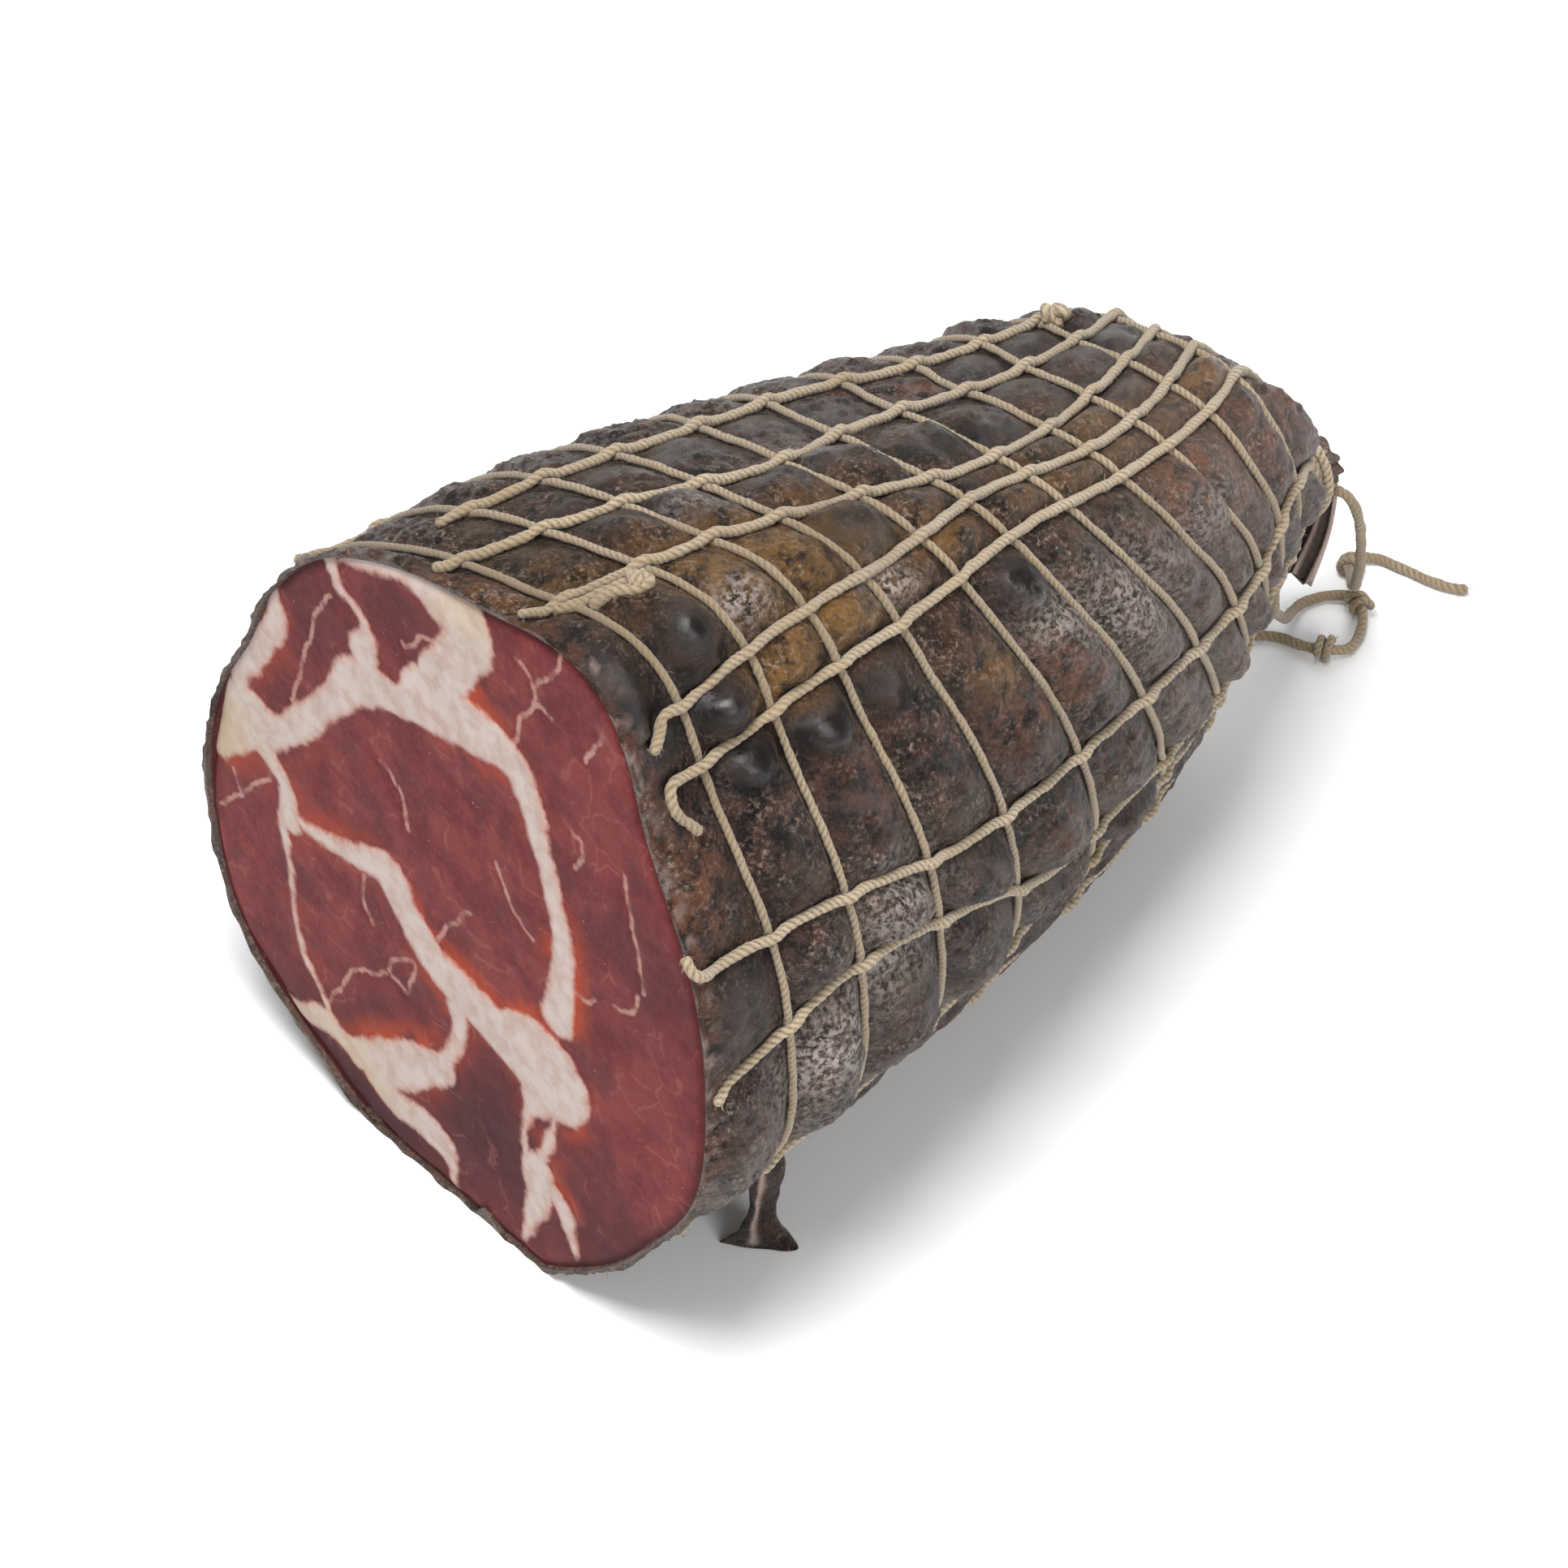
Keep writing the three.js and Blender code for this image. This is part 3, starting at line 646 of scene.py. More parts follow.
def casing_material():
    look = Shader("casing")
    broad = look.noise(13, 4, 0.6)
    middle = look.noise(3.2, 7, 0.7)
    fine = look.noise(0.7, 6, 0.72)
    ridges = look.noise(2.3, 5, 0.6, "RIDGED_MULTIFRACTAL")
    bead, ochre, orange, mould, olive, groove, pale = (look.value(key) for key in SHADING_KEYS)
    rough_skin = look.minus(1.0, look.times(bead, 0.85), clamp=True)
    colour = look.mix(look.ramp(middle, 0.40, 0.62), srgb(13, 7, 6), srgb(72, 50, 43))
    colour = look.mix(look.ramp(broad, 0.45, 0.75, 0, 0.6), colour, srgb(72, 52, 34))
    for stain, share, tint in (
        (olive, look.ramp(middle, 0.36, 0.62, 0.2, 1), srgb(100, 78, 46)),
        (ochre, look.ramp(middle, 0.36, 0.6, 0.15, 1), srgb(128, 92, 44)),
        (orange, look.ramp(middle, 0.40, 0.62, 0.08, 0.8), srgb(116, 66, 34)),
    ):
        colour = look.mix(look.times(stain, share), colour, tint)
    # Pale flecks of dried skin, which also stand in for small glints: partly the skin's own colour, partly
    # painted highlight.
    patches = look.ramp(look.noise(5, 4, 0.6), 0.4, 0.62, 0.15, 0.8)
    flecks_and_glints = look.times(look.ramp(fine, 0.5, 0.66), patches)
    flecks_and_glints = look.times(flecks_and_glints, rough_skin, clamp=True)
    colour = look.mix(flecks_and_glints, colour, srgb(168, 146, 130))
    # Painted shade: the colour goes near black in the hollows of the bump below, where shade falls.
    crease_shade = look.times(look.ramp(middle, 0.45, 0.36), 0.6)
    colour = look.mix(crease_shade, colour, srgb(14, 8, 8))
    colour = look.mix(look.times(groove, 0.3), colour, srgb(66, 50, 34))
    colour = look.mix(look.times(bead, 0.94), colour, srgb(12, 8, 9))
    powder = look.ramp(look.noise(0.9, 5, 0.7), 0.42, 0.56)
    grains = look.ramp(look.cells(1.1, "F1"), 0.25, 0.6, 0.3, 1)
    bloom = look.times(look.times(powder, grains), mould, clamp=True)
    colour = look.mix(bloom, colour, srgb(182, 170, 162))
    # Pale: torn pale bits at the rim, a pale tint at the far end, neck and flap edge, and on the tail's
    # pleat crests a painted highlight.
    colour = look.mix(pale, colour, srgb(180, 158, 148))
    look.give("Base Color", colour)
    rough = look.ramp(fine, 0.3, 0.7, 0.2, 0.36)
    rough = look.minus(rough, look.times(bead, 0.1))
    rough = look.plus(rough, look.times(look.plus(bloom, flecks_and_glints), 0.3), clamp=True)
    look.give("Roughness", rough)
    look.give("Specular IOR Level", 0.32)
    height = look.plus(middle, look.times(fine, 0.4))
    height = look.plus(height, look.times(ridges, 0.1))
    calm = look.minus(1.0, look.times(bead, 0.93))
    look.bump(look.times(height, calm), 2.2)
    return look.material


def meat_material():
    look = Shader("cured_meat")
    fat, vein, rim, glow, wine, lump = (look.value(key) for key in INSIDE)
    jagged = look.minus(look.noise(2.4, 4, 0.55), 0.5)
    shore = look.plus(fat, look.times(jagged, 2.2))
    fat_share = look.ramp(shore, 0.5, -0.5)
    grain = look.noise(0.9, 6, 0.7)
    mottle = look.noise(6, 5, 0.6)
    muscle = look.mix(look.ramp(mottle, 0.36, 0.64), srgb(88, 33, 37), srgb(114, 47, 48))
    muscle = look.mix(look.ramp(grain, 0.42, 0.74, 0, 0.35), muscle, srgb(134, 68, 62))
    muscle = look.mix(wine, muscle, srgb(62, 27, 33))
    near = look.times(look.ramp(fat, 4.6, 0.2), look.ramp(look.noise(8, 3, 0.5), 0.38, 0.56))
    near = look.times(near, look.times(glow, 0.95), clamp=True)
    muscle = look.mix(near, muscle, srgb(150, 58, 34))
    crust = look.ramp(rim, 2.2, 0.2)
    muscle = look.mix(look.times(crust, 0.6), muscle, srgb(62, 26, 24))
    membranes = look.ramp(look.cells(7, distortion=5), 0.035, 0.012)
    web = look.times(membranes, look.ramp(look.noise(6, 2), 0.5, 0.62))
    muscle = look.mix(look.times(web, 0.2), muscle, srgb(160, 104, 96))
    speck = look.times(look.ramp(look.noise(0.5, 2), 0.68, 0.76), look.ramp(look.noise(4, 2), 0.5, 0.65))
    muscle = look.mix(look.times(speck, 0.7), muscle, srgb(178, 140, 130))
    wander = look.times(look.minus(look.noise(1.1, 4), 0.5), 0.9)
    thread = look.ramp(look.plus(vein, wander), 0.34, -0.16)
    thread = look.times(thread, look.ramp(look.noise(3.5, 3), 0.36, 0.56, 0.25, 0.85))
    muscle = look.mix(thread, muscle, srgb(172, 130, 120))
    cream = look.mix(look.ramp(look.noise(3, 5, 0.6), 0.35, 0.7), srgb(184, 172, 166), srgb(172, 150, 140))
    cream = look.mix(look.ramp(shore, -1.3, 0.1, 0, 0.6), cream, srgb(176, 122, 108))
    cream = look.mix(look.times(lump, 0.75), cream, srgb(178, 158, 120))
    colour = look.mix(fat_share, muscle, cream)
    look.give("Base Color", colour)
    look.give("Roughness", look.ramp(fat_share, 0, 1, 0.48, 0.58))
    look.give("Specular IOR Level", 0.06)
    look.give("Subsurface Weight", 0.12)
    look.give("Subsurface Radius", (1.0, 0.35, 0.25))
    look.give("Subsurface Scale", 0.0012)
    height = look.plus(look.times(grain, 0.4), look.times(fat_share, 0.7))
    look.bump(look.plus(height, look.times(mottle, 0.5)), 0.22, 0.7)
    return look.material


def floor_material():
    look = Shader("floor")
    look.give("Base Color", (0.77, 0.77, 0.77, 1))
    look.give("Roughness", 0.9)
    return look.material


TWINE = twine_material()
CASING = casing_material()
MEAT = meat_material()


# ---- Camera: where it stands round the target in degrees, and how far off in millimetres ----
AZIMUTH, ELEVATION = math.radians(49), math.radians(42)
DISTANCE = 900
TARGET = (45.8, 63.2, 32.8)
LENS = 152.6


def face_along(item, direction):
    """Turns a camera or a light to look along a direction."""
    item.rotation_mode = "QUATERNION"
    item.rotation_quaternion = direction.to_track_quat("-Z", "Y")


def add_camera():
    level = math.cos(ELEVATION)
    back = Vector((math.sin(AZIMUTH) * level, -math.cos(AZIMUTH) * level, math.sin(ELEVATION)))
    data = bpy.data.cameras.new("camera")
    data.sensor_width = 36
    data.lens = LENS
    camera = link("camera", data)
    camera.location = Vector(place(TARGET)) + back * DISTANCE * MM
    face_along(camera, -back)
    bpy.context.scene.camera = camera


add_camera()

# ---- The free cords, along the routes of the CAD source (millimetres) ----
HANG_ROUTE = [
    (54.9, 158.3, 38.7), (56, 160.3, 36.6), (56.3, 162.3, 32), (55.2, 164.2, 26), (53.2, 166.4, 19),
    (50.4, 169, 12.6), (47.2, 172, 8.4), (43.9, 175, 5.4), (41, 177.8, 3.2), (38.6, 180.2, 2.2),
    (37.6, 183, 1.4), (39.4, 185.6, 0.95), (42.8, 186.6, 0.95), (46.4, 187.3, 0.95), (50, 188.4, 0.95),
    (53, 190.4, 0.95),
]
LOOP_ROUTE = [
    (50.1, 153.9, 22.6), (49.4, 153, 19.5), (48.2, 154.4, 14.5),
    (45.4, 158.4, 9), (43, 162.6, 4.8), (40.6, 166.4, 2.1), (39.4, 170.2, 1.0), (40.6, 173.8, 1.2),
    (44, 175.4, 2.2), (47.6, 174, 2.2), (50.2, 170.8, 1.4), (51.2, 167.2, 1.6), (49.6, 164.2, 2.2),
    (46.2, 162.9, 1.3), (42.4, 161.9, 0.95), (39.4, 159.2, 0.95), (37.9, 155, 0.95), (37.4, 150, 0.95),
    (37.4, 145.5, 1.4), (37.7, 141.2, 3.3), (38.2, 137.4, 5.8), (38.8, 133.9, 8.2),
]
# Each knot: its node, its middle, and the cord's direction there.
CORD_KNOTS = [
    ("hang_cord_knot", (38.6, 180.2, 2.25), (-3.4, 5.2, -1.8)),
    ("loop_cord_knot_outer", (45.9, 175, 2.25), (3.6, -1.1, 0)),
    ("loop_cord_knot_inner", (49.6, 164.2, 2.2), (-2.5, -2.15, -0.1)),
]


def grey_stain(vertices):
    """The free ends are grubbier than the net: an even stain, a little stronger in places."""
    return np.clip(0.6 + 0.4 * turbulence(np.asarray(vertices), 6.0, 5.0), 0, 1)


def cord_knot(name, at, along, seed):
    """A small overhand knot: one and a half turns of the twine round itself, pulled tight."""
    axis = unit(np.array(along, float))
    side = unit(np.cross(axis, [0, 0, 1.0]))
    up = np.cross(side, axis)
    part = np.linspace(0, 1, 60)
    turn = part * 3.1 * np.pi
    size = 1.35 + 0.15 * np.sin(2 * turn)
    lengthwise = (part - 0.5) * 2.2
    path = moved(np.array(at), (axis, lengthwise), (side, np.cos(turn) * size), (up, np.sin(turn) * size))
    path = lifted(path, 0.85)
    return twine_piece("knot_of_" + name, [rope(path, 0.62, seed, lay=2.6)], name, grey_stain)


def free_cord(name, route, node, seed):
    """A free end of twine along its route; its knots are built on their own."""
    path = resample(spline(route), ROPE_STEP)
    piece = twine_piece(name, [rope(path, CORD_RADIUS, seed)], node, grey_stain)


knots = [cord_knot(name, at, along, KNOT_SEED + i) for i, (name, at, along) in enumerate(CORD_KNOTS)]
free_cord("hanging_twine", HANG_ROUTE, "hang_cord", 31)
free_cord("looped_twine", LOOP_ROUTE, "loop_cord", 32)


# ---- The casing ----
def column_angles():
    """Angles round the body, twice as close together where most of the detail shows."""
    return np.r_[np.arange(-80, 140, 0.72), np.arange(140, 280, 1.4)]


def row_stations():
    """Stations along the body at even steps along its surface."""
    along = np.arange(0, ARC_TABLE[-1] - 0.5, 0.8)
    return np.interp(along, ARC_TABLE, STATION_TABLE)


CASING_WALL = 1.0
# The inner face: how deep behind the cut each ring is, and how far the wall thins towards the rim.
INNER_RINGS = [(6.0, 0.0), (3.0, 0.0), (1.2, 0.35), (0.1, 0.62)]


def casing_skin():
    """The outer face from the cut to the neck, with its quilting, wrinkles and pleats."""
    angle, station = np.meshgrid(column_angles(), row_stations())
    height, to_hoop, to_string = quilt(station, angle)
    base = outline(station, angle)
    y = base[..., 1]
    nearest = np.minimum(to_hoop, to_string)
    away = smooth(nearest, 0.9, 3.0)
    lumps = turbulence(base, 8.0, 3.0) * 0.6 + turbulence(base, 3.4, 9.0) * 0.4
    creases = (0.4 - np.abs(turbulence(base, 2.6, 21.0))) * 0.85 + turbulence(base, 1.6, 27.0) * 0.3
    shading = {name: spots(places, y, angle) for name, places in STAINS.items()}
    bead = shading["bead"]
    height = height + away * (lumps * (1 - 0.7 * bead) + creases * (1 - 0.9 * bead))
    turn = np.radians(angle)
    pleats = np.abs(np.sin(turn * 12 + 1.5 * np.sin(turn * 3)))
    height = height + smooth(station, 7.0, 8.2) * (pleats - 0.5) * 1.5
    rim = np.exp(-y / 1.2)
    height = height + rim * (turbulence(base, 4.5, 33.0) * 0.25)
    point = raised(station, angle, height)
    point[..., 1] += rim * turbulence(base, 3.0, 41.0) * 0.45
    point = lifted(point, FLOOR_GAP + TWINE_ROOM * np.exp(-(nearest**2) / TWINE_ROOM_REACH))
    shading["groove"] = np.exp(-(nearest**2) / 1.4)
    torn = turbulence(base, 2.4, 55.0) + 0.5 * turbulence(base, 1.0, 57.0)
    pale_rim = smooth(y, 3.2, 0.4) * smooth(torn, 0.12, 0.5)
    orange_rim = smooth(y, 4.0, 0.6) * smooth(torn, 0.5, 0.0)
    far_end = smooth(y, 78, 118) * spots([(115, 30, 50, 60, 1.0)], y, angle)
    shading["pale"] = 0.4 * pale_rim + 0.14 * far_end
    shading["orange"] = np.clip(shading["orange"] + 0.5 * orange_rim, 0, 1)
    return point, shading


def inner_skin(angle):
    """The inner face, from deep inside out to the rim."""
    rings = []
    for depth, rise in INNER_RINGS:
        station = np.full_like(angle, station_at(depth))
        height, _, _ = quilt(station, angle)
        rings.append(lifted(raised(station, angle, height - CASING_WALL + rise), CASING_WALL - rise))
    return np.array(rings)


def tube(points, shading, capped_rows=(0, -1)):
    """The mesh of a grid of points that closes round, with fans over the rows that are to be capped."""
    rows, columns = points.shape[:2]
    vertices = points.reshape(-1, 3)
    faces = grid_faces(rows, columns, True)
    for row in capped_rows:
        ring = row % rows * columns + np.arange(columns)
        sides = (np.roll(ring, -1), ring) if row == 0 else (ring, np.roll(ring, -1))
        faces += np.stack([np.full(columns, len(vertices)), *sides], -1).tolist()
        vertices = np.vstack([vertices, points[row].mean(0)])
    values = {key: np.broadcast_to(shading.get(key, 0.0), (rows, columns)).ravel() for key in SHADING_KEYS}
    values = {key: np.append(value, [value[row] for row in capped_rows]) for key, value in values.items()}
    return vertices, faces, values


NECK_INSIDE_ROWS = 8


def neck_skin():
    """The gathered neck: a pleated tube that flares where the casing was cut off."""
    turn, along = np.meshgrid(np.linspace(0, 2 * np.pi, 96, endpoint=False), np.linspace(0, 1, 26))
    waist = 3.4 + 1.6 * (1 - smooth(along, 0, 0.35)) + 0.5 * smooth(along, 0.72, 1.0)
    pleat = np.sin(turn * 9 + 1.6 * np.sin(turn * 2)) * (0.6 + 0.4 * np.sin(turn * 3))
    radius = waist + pleat * (0.4 + 0.25 * along)
    y = 148.6 + 11.2 * along + 0.25 * np.sin(turn * 5) * smooth(along, 0.8, 1)
    points = np.stack([NECK_X + radius * np.cos(turn), y, NECK_Z + radius * np.sin(turn)], -1)
    middle = np.array([NECK_X, 0, NECK_Z])
    inside = middle + (points[: -NECK_INSIDE_ROWS - 1 : -1] - middle) * [0.55, 1.0, 0.55] - [0, 0.4, 0]
    return np.vstack([points, inside]), {"pale": 0.2, "bead": 0.2}


TAIL_ROUTE = [
    (50.4, 157.6, 43.2), (50.1, 159.8, 40.4), (49.9, 160.2, 36), (49.9, 158.9, 31), (50.1, 156.4, 26.5),
    (50.2, 154.6, 23),
]


def tail_skin():
    """The casing's gathered tail, folded down over the end: a closed band with deep lengthwise pleats."""
    path = resample(spline(TAIL_ROUTE), 0.45)
    tangent = tangents(path, False)
    across = np.tile([1.0, 0.05, 0.0], (len(path), 1))
    across = unit(across - tangent * (across * tangent).sum(-1, keepdims=True))
    out = np.cross(across, tangent)
    turn = np.linspace(0, 2 * np.pi, 120, endpoint=False)[None, :]
    part = np.linspace(0, 1, len(path))[:, None]
    half_width = 2.9 + 1.7 * smooth(part, 0.1, 0.9)
    sideways = half_width * np.cos(turn)
    pleat = 0.6 * np.sin(np.cos(turn) * 12.5 + 2.2 * part) + 0.22 * np.sin(sideways * 3.1 - 3 * part)
    face = np.sin(turn)
    thick = 1.1 * face + pleat * np.sign(face) * np.abs(face) ** 0.4
    ragged = 0.5 * np.sin(turn * 7) * smooth(part, 0.9, 1.0)
    steps = (across[:, None], sideways), (out[:, None], thick), (tangent[:, None], ragged)
    points = moved(path[:, None], *steps)
    # Painted highlight: the pleats' outward crests are paler, over an even pale tint.
    pleat_highlight = 0.1 + 0.8 * smooth(pleat, 0.05, 0.5)
    return points, {"pale": pleat_highlight, "bead": 0.6}


FLAP_ROWS = [
    # Height, then the ring of corners as x and y: from inside the casing down to the floor.
    (18.5, [(85.5, 22.5), (87.0, 22.8), (87.4, 26.6), (85.6, 27.0)]),
    (14.0, [(85.8, 22.4), (87.4, 22.6), (87.8, 26.8), (86.2, 27.2)]),
    (9.0, [(85.2, 23.0), (86.4, 23.0), (86.8, 26.2), (85.6, 26.6)]),
    (4.5, [(84.2, 22.2), (85.6, 22.8), (86.6, 26.2), (85.0, 26.8)]),
    (1.2, [(82.0, 21.4), (85.0, 23.2), (88.2, 27.4), (84.8, 28.0)]),
    (0.15, [(81.2, 21.2), (85.0, 23.6), (89.4, 27.9), (84.4, 28.6)]),
]


def flap_skin():
    """A loose fold of casing that hangs from the lower front to the floor, its corners pulled out there."""
    corner = np.linspace(0, 4, 64, endpoint=False)
    rows = np.linspace(0, len(FLAP_ROWS) - 1, 34)
    rings = [[through([p[k] for p in ring], corner, True) for k in (0, 1)] for _, ring in FLAP_ROWS]
    rings = np.array(rings)
    x, y = (np.stack([through(rings[:, k, i], rows) for i in range(len(corner))], -1) for k in (0, 1))
    z = np.maximum(through([height for height, _ in FLAP_ROWS], rows), 0.05)[:, None] + 0 * x
    points = np.stack([x, y, z], -1)
    folds = turbulence(points, 2.2, 61.0) * 0.35
    points[..., 0] += folds
    points[..., 1] += np.roll(folds, 9, 1) * 0.6
    pale_edge = np.exp(-(((corner[None, :] - 1.1) / 0.13) ** 2)) * smooth(z, 0.3, 1.5)
    return points, {"pale": 0.9 * pale_edge, "bead": 0.35, "groove": 0.2}


def casing():
    outer, shading = casing_skin()
    inner = inner_skin(column_angles())
    within = {"orange": 0.35, "pale": 0.15}
    for key in SHADING_KEYS:
        shading[key] = np.concatenate([np.full(inner.shape[:2], within.get(key, 0.0)), shading[key]])
    body = tube(np.concatenate([inner, outer]), shading, capped_rows=(-1,))
    vertices, faces, values = join([body, tube(*neck_skin()), tube(*tail_skin()), tube(*flap_skin())])
    piece = make_mesh("gut_casing", place(vertices), faces, values)
    finish_piece(piece, CASING, "casing")


casing()


# ---- The meat ----
# Bands of fat on the cut face: the middle line as x and z in millimetres, and the half width.
FAT_BANDS = [
    # Across the top, from the left lump through the broad crossing and down the right.
    [(2, 51, 5.3), (7.5, 56.5, 5.6), (12, 59, 4.6), (16, 59.5, 3.2), (19.5, 61.5, 2.2), (23, 65, 2.6),
     (27.5, 70.5, 2.4), (31.5, 75.5, 2.6), (35, 80, 3.6), (39, 82.5, 3.6), (43.5, 83, 2.8), (47, 84.5, 3.2),
     (51, 87.5, 5.2), (55.5, 88.5, 5), (58.5, 88.5, 4.4), (63.5, 89, 3.4), (67.5, 88, 3.2),
     (69.5, 85.5, 2.8), (71, 82, 2.4), (72, 77.5, 2), (73.5, 74, 1.9), (74.5, 70, 1.9), (75.5, 67, 2),
     (76, 61, 2.2),
     (75.5, 55, 2.4), (74.5, 49.5, 3.2)],
    # Along the top right edge, back to the crossing.
    [(33, 99, 0.4), (37, 101.5, 1.1), (42, 104, 1.6), (46, 106, 2), (50.5, 106.5, 3), (54, 106, 4.2),
     (57, 105.5, 4.8), (59, 104, 5.2), (58, 100.5, 4), (55.5, 95.5, 4), (53, 91.5, 4.6)],
    # From the top edge down to the crossing.
    [(29.5, 99.5, 2.1), (30.5, 97.5, 1.5), (32, 96, 1.2), (33, 94.5, 1), (34.5, 94, 0.7), (36, 93, 0.6),
     (38, 91.5, 1), (38.5, 89.5, 1.8), (37.5, 86.5, 3.2)],
    # Up the left edge.
    [(18, 85.5, 1), (18.5, 83, 1.8), (19, 80, 2.2), (17.5, 77, 2.2), (15.5, 74, 2.4), (12.5, 69.5, 2.4),
     (10, 66, 2.1), (9, 64, 2.4)],
    # Down from the left lump.
    [(13.5, 55.5, 2.4), (16, 53.5, 1.8), (18.5, 51, 1.6), (19, 48, 2.2), (19, 45.5, 2.2)],
    # A thin band that falls from there to the bottom left edge.
    [(17.5, 44.5, 1.1), (18, 40.5, 0.9), (18.5, 36.5, 0.7), (18.5, 31, 0.7), (19.5, 24.5, 0.6),
     (20.5, 21.5, 0.9), (22, 19.5, 0.6), (24, 17, 0.5), (25.5, 13, 0.6)],
    # The long middle diagonal, widening into the lower crossing.
    [(20.5, 47, 0.8), (24.5, 47, 1.2), (29.5, 48, 1.6), (33.5, 49, 2), (37.5, 50.5, 2.6), (40.5, 50.5, 3.6),
     (42, 48.5, 3.6), (44, 46, 3.4), (46.5, 43.5, 3.4), (50, 41, 3.6), (54.5, 40, 4), (57.5, 39.5, 4),
     (61.5, 38.5, 4.4), (65.5, 38, 5.2), (69, 38.5, 7), (72, 38, 7.6), (74.5, 38, 6)],
    # From the lower crossing round to the bottom left edge.
    [(53.5, 35.5, 2.3), (54, 32.5, 1.6), (52.5, 28, 1.3), (50, 23.5, 1.5)],
    [(12.5, 10, 0.9), (18, 10, 1.2), (23.5, 12.5, 2.4), (27.5, 12, 1.8), (31, 11.5, 2.6), (35, 13, 3.6),
     (39.5, 15.5, 4), (45, 19.5, 3.6), (50, 22.5, 2.4)],
    [(35, 10.5, 3.2), (39, 8.5, 3), (43, 8.5, 2.6), (47, 8.5, 3), (50, 7, 2.2), (51, 4.5, 1.2),
     (51, 2, 0.7)],
    # The two legs under the lower crossing, round a spot of muscle.
    [(69.5, 31.5, 3.2), (68, 28, 1.2), (67, 23, 0.7), (67.5, 19, 1)],
    [(75, 35, 2.7), (73.5, 31, 0.7), (72, 25.5, 0.9), (70.5, 21.5, 1.2)],
    [(69.5, 18.5, 3.2), (69.5, 16.5, 3.4), (69.5, 13.5, 2.6), (68, 9.5, 1.8), (67, 6, 1.2), (66, 3, 0.6)],
    [(72, 17, 1.6), (74.5, 15, 2), (75.5, 12.5, 1.6), (76, 11, 1.1), (77, 7.5, 0.5)],
]
# Thin veins: the middle line as x and z.
VEINS = [
    [(68, 106), (70.5, 105), (71.5, 103.5), (71.5, 100.5), (69, 95.5), (67.5, 91)],
    [(71.5, 103.5), (74, 106), (76, 108.5), (76.5, 111.5), (74.5, 112)],
    [(71.5, 100.5), (74, 101), (75, 100.5)],
    [(57, 100), (50, 97), (47, 93.5), (46, 94)],
    [(15, 50), (13, 48), (8, 42.5), (3, 37.5)],
    [(8, 42.5), (6.5, 46)],
    [(85, 104), (81.5, 98)],
    [(48.5, 43.5), (50.5, 46.5), (53.5, 51.5), (57, 55.5)],
    [(38.5, 31.5), (34, 28.5), (30.5, 26), (27.5, 20.5), (25, 16.5)],
    [(42, 36.5), (44.5, 37.5), (44, 34.5), (42.5, 31), (40.5, 31), (39, 32), (40, 35), (42, 36.5)],
    [(77, 57), (80, 56.5), (82, 58)],
    [(70, 60), (66, 63), (63, 68)],
    [(86, 60), (89.5, 61.5), (91, 65)],
    [(31, 92), (27, 85.5), (24.5, 77.5), (21, 67.5)],
    [(39.5, 69.5), (44, 66.5), (44.5, 61.5)],
    [(78.5, 84), (80.5, 83.5), (79, 78)],
    [(35, 46.5), (34, 42), (36, 38.5)],
    [(88, 84), (90, 76), (92, 66)],
]
# Where the muscle is darker, and where its edge along the fat glows: x, z, reach and strength.
WINE_PLACES = [
    (58, 18, 16, 0.9), (20, 5, 14, 0.9), (35, 2, 14, 0.9), (82, 14, 12, 0.6), (27, 88, 10, 0.5),
    (46, 97, 8, 0.5), (96, 70, 14, 0.4),
]
GLOW_PLACES = [
    (60, 80, 8, 1), (78, 60, 9, 0.9), (68, 46, 10, 1), (52, 47, 9, 1), (26, 52, 8, 0.9), (33, 21, 10, 0.9),
    (44, 24, 8, 0.9), (76, 30, 9, 0.8), (60, 93, 7, 1), (12, 76, 8, 1), (8, 48, 7, 0.7), (57, 100, 6, 0.4),
    (80, 46, 7, 0.8), (48, 32, 7, 0.7), (76, 18, 6, 0.6), (40, 62, 6, 0.3),
]


def distance_to_line(points, line, widths):
    """How far points are outside a band that follows a line, negative inside it."""
    nearest = np.full(len(points), 1e3)
    for start, end, start_width, end_width in zip(line[:-1], line[1:], widths[:-1], widths[1:]):
        step = end - start
        part = np.clip(((points - start) @ step) / max(step @ step, 1e-6), 0, 1)
        off = np.linalg.norm(points - start - part[:, None] * step, axis=1)
        nearest = np.minimum(nearest, off - (start_width + (end_width - start_width) * part))
    return nearest


def face_spots(points, places):
    """From 0 to 1: how strongly soft-edged places on the cut face cover each point."""
    total = np.zeros(len(points))
    for x, z, reach, strength in places:
        total += strength * np.exp(-((points[:, 0] - x) ** 2 + (points[:, 1] - z) ** 2) / reach**2)
    return np.clip(total, 0, 1)


# Where the fat is yellower and rounds over the edge: x, z, reach and strength.
LUMP_PLACES = [(1, 52, 9, 1.0), (30, 8, 9, 0.5), (12, 10, 7, 0.6), (58, 108, 6, 0.5)]
# The cut face: points along each side of its grid, and its middle. Then how deep the rings behind it are.
FACE_CELLS = 236
FACE_MIDDLE = np.array([52.0, 0.0, 56.0])
SIDE_DEPTHS = [0.8, 2, 4, 8, 16, 26, 36, 48, 60, 72, 84, 96, 108, 118, 128, 136, 142, 147, 150]
# Stands for a place far from any fat or vein.
OFF_THE_FAT = 9.0
VEIN_HALF_WIDTH = 0.26


def disc_grid(count):
    """A square grid bent onto the unit disc, with even spacing. Its border runs once round the rim."""
    line = np.linspace(-1, 1, count)
    a, b = np.meshgrid(line, line)
    side_wedge = np.abs(a) >= np.abs(b)
    safe_a, safe_b = np.where(a == 0, 1e-9, a), np.where(b == 0, 1e-9, b)
    radius = np.where(side_wedge, a, b)
    turn = np.where(side_wedge, np.pi / 4 * b / safe_a, np.pi / 2 - np.pi / 4 * a / safe_b)
    return radius * np.cos(turn), radius * np.sin(turn)


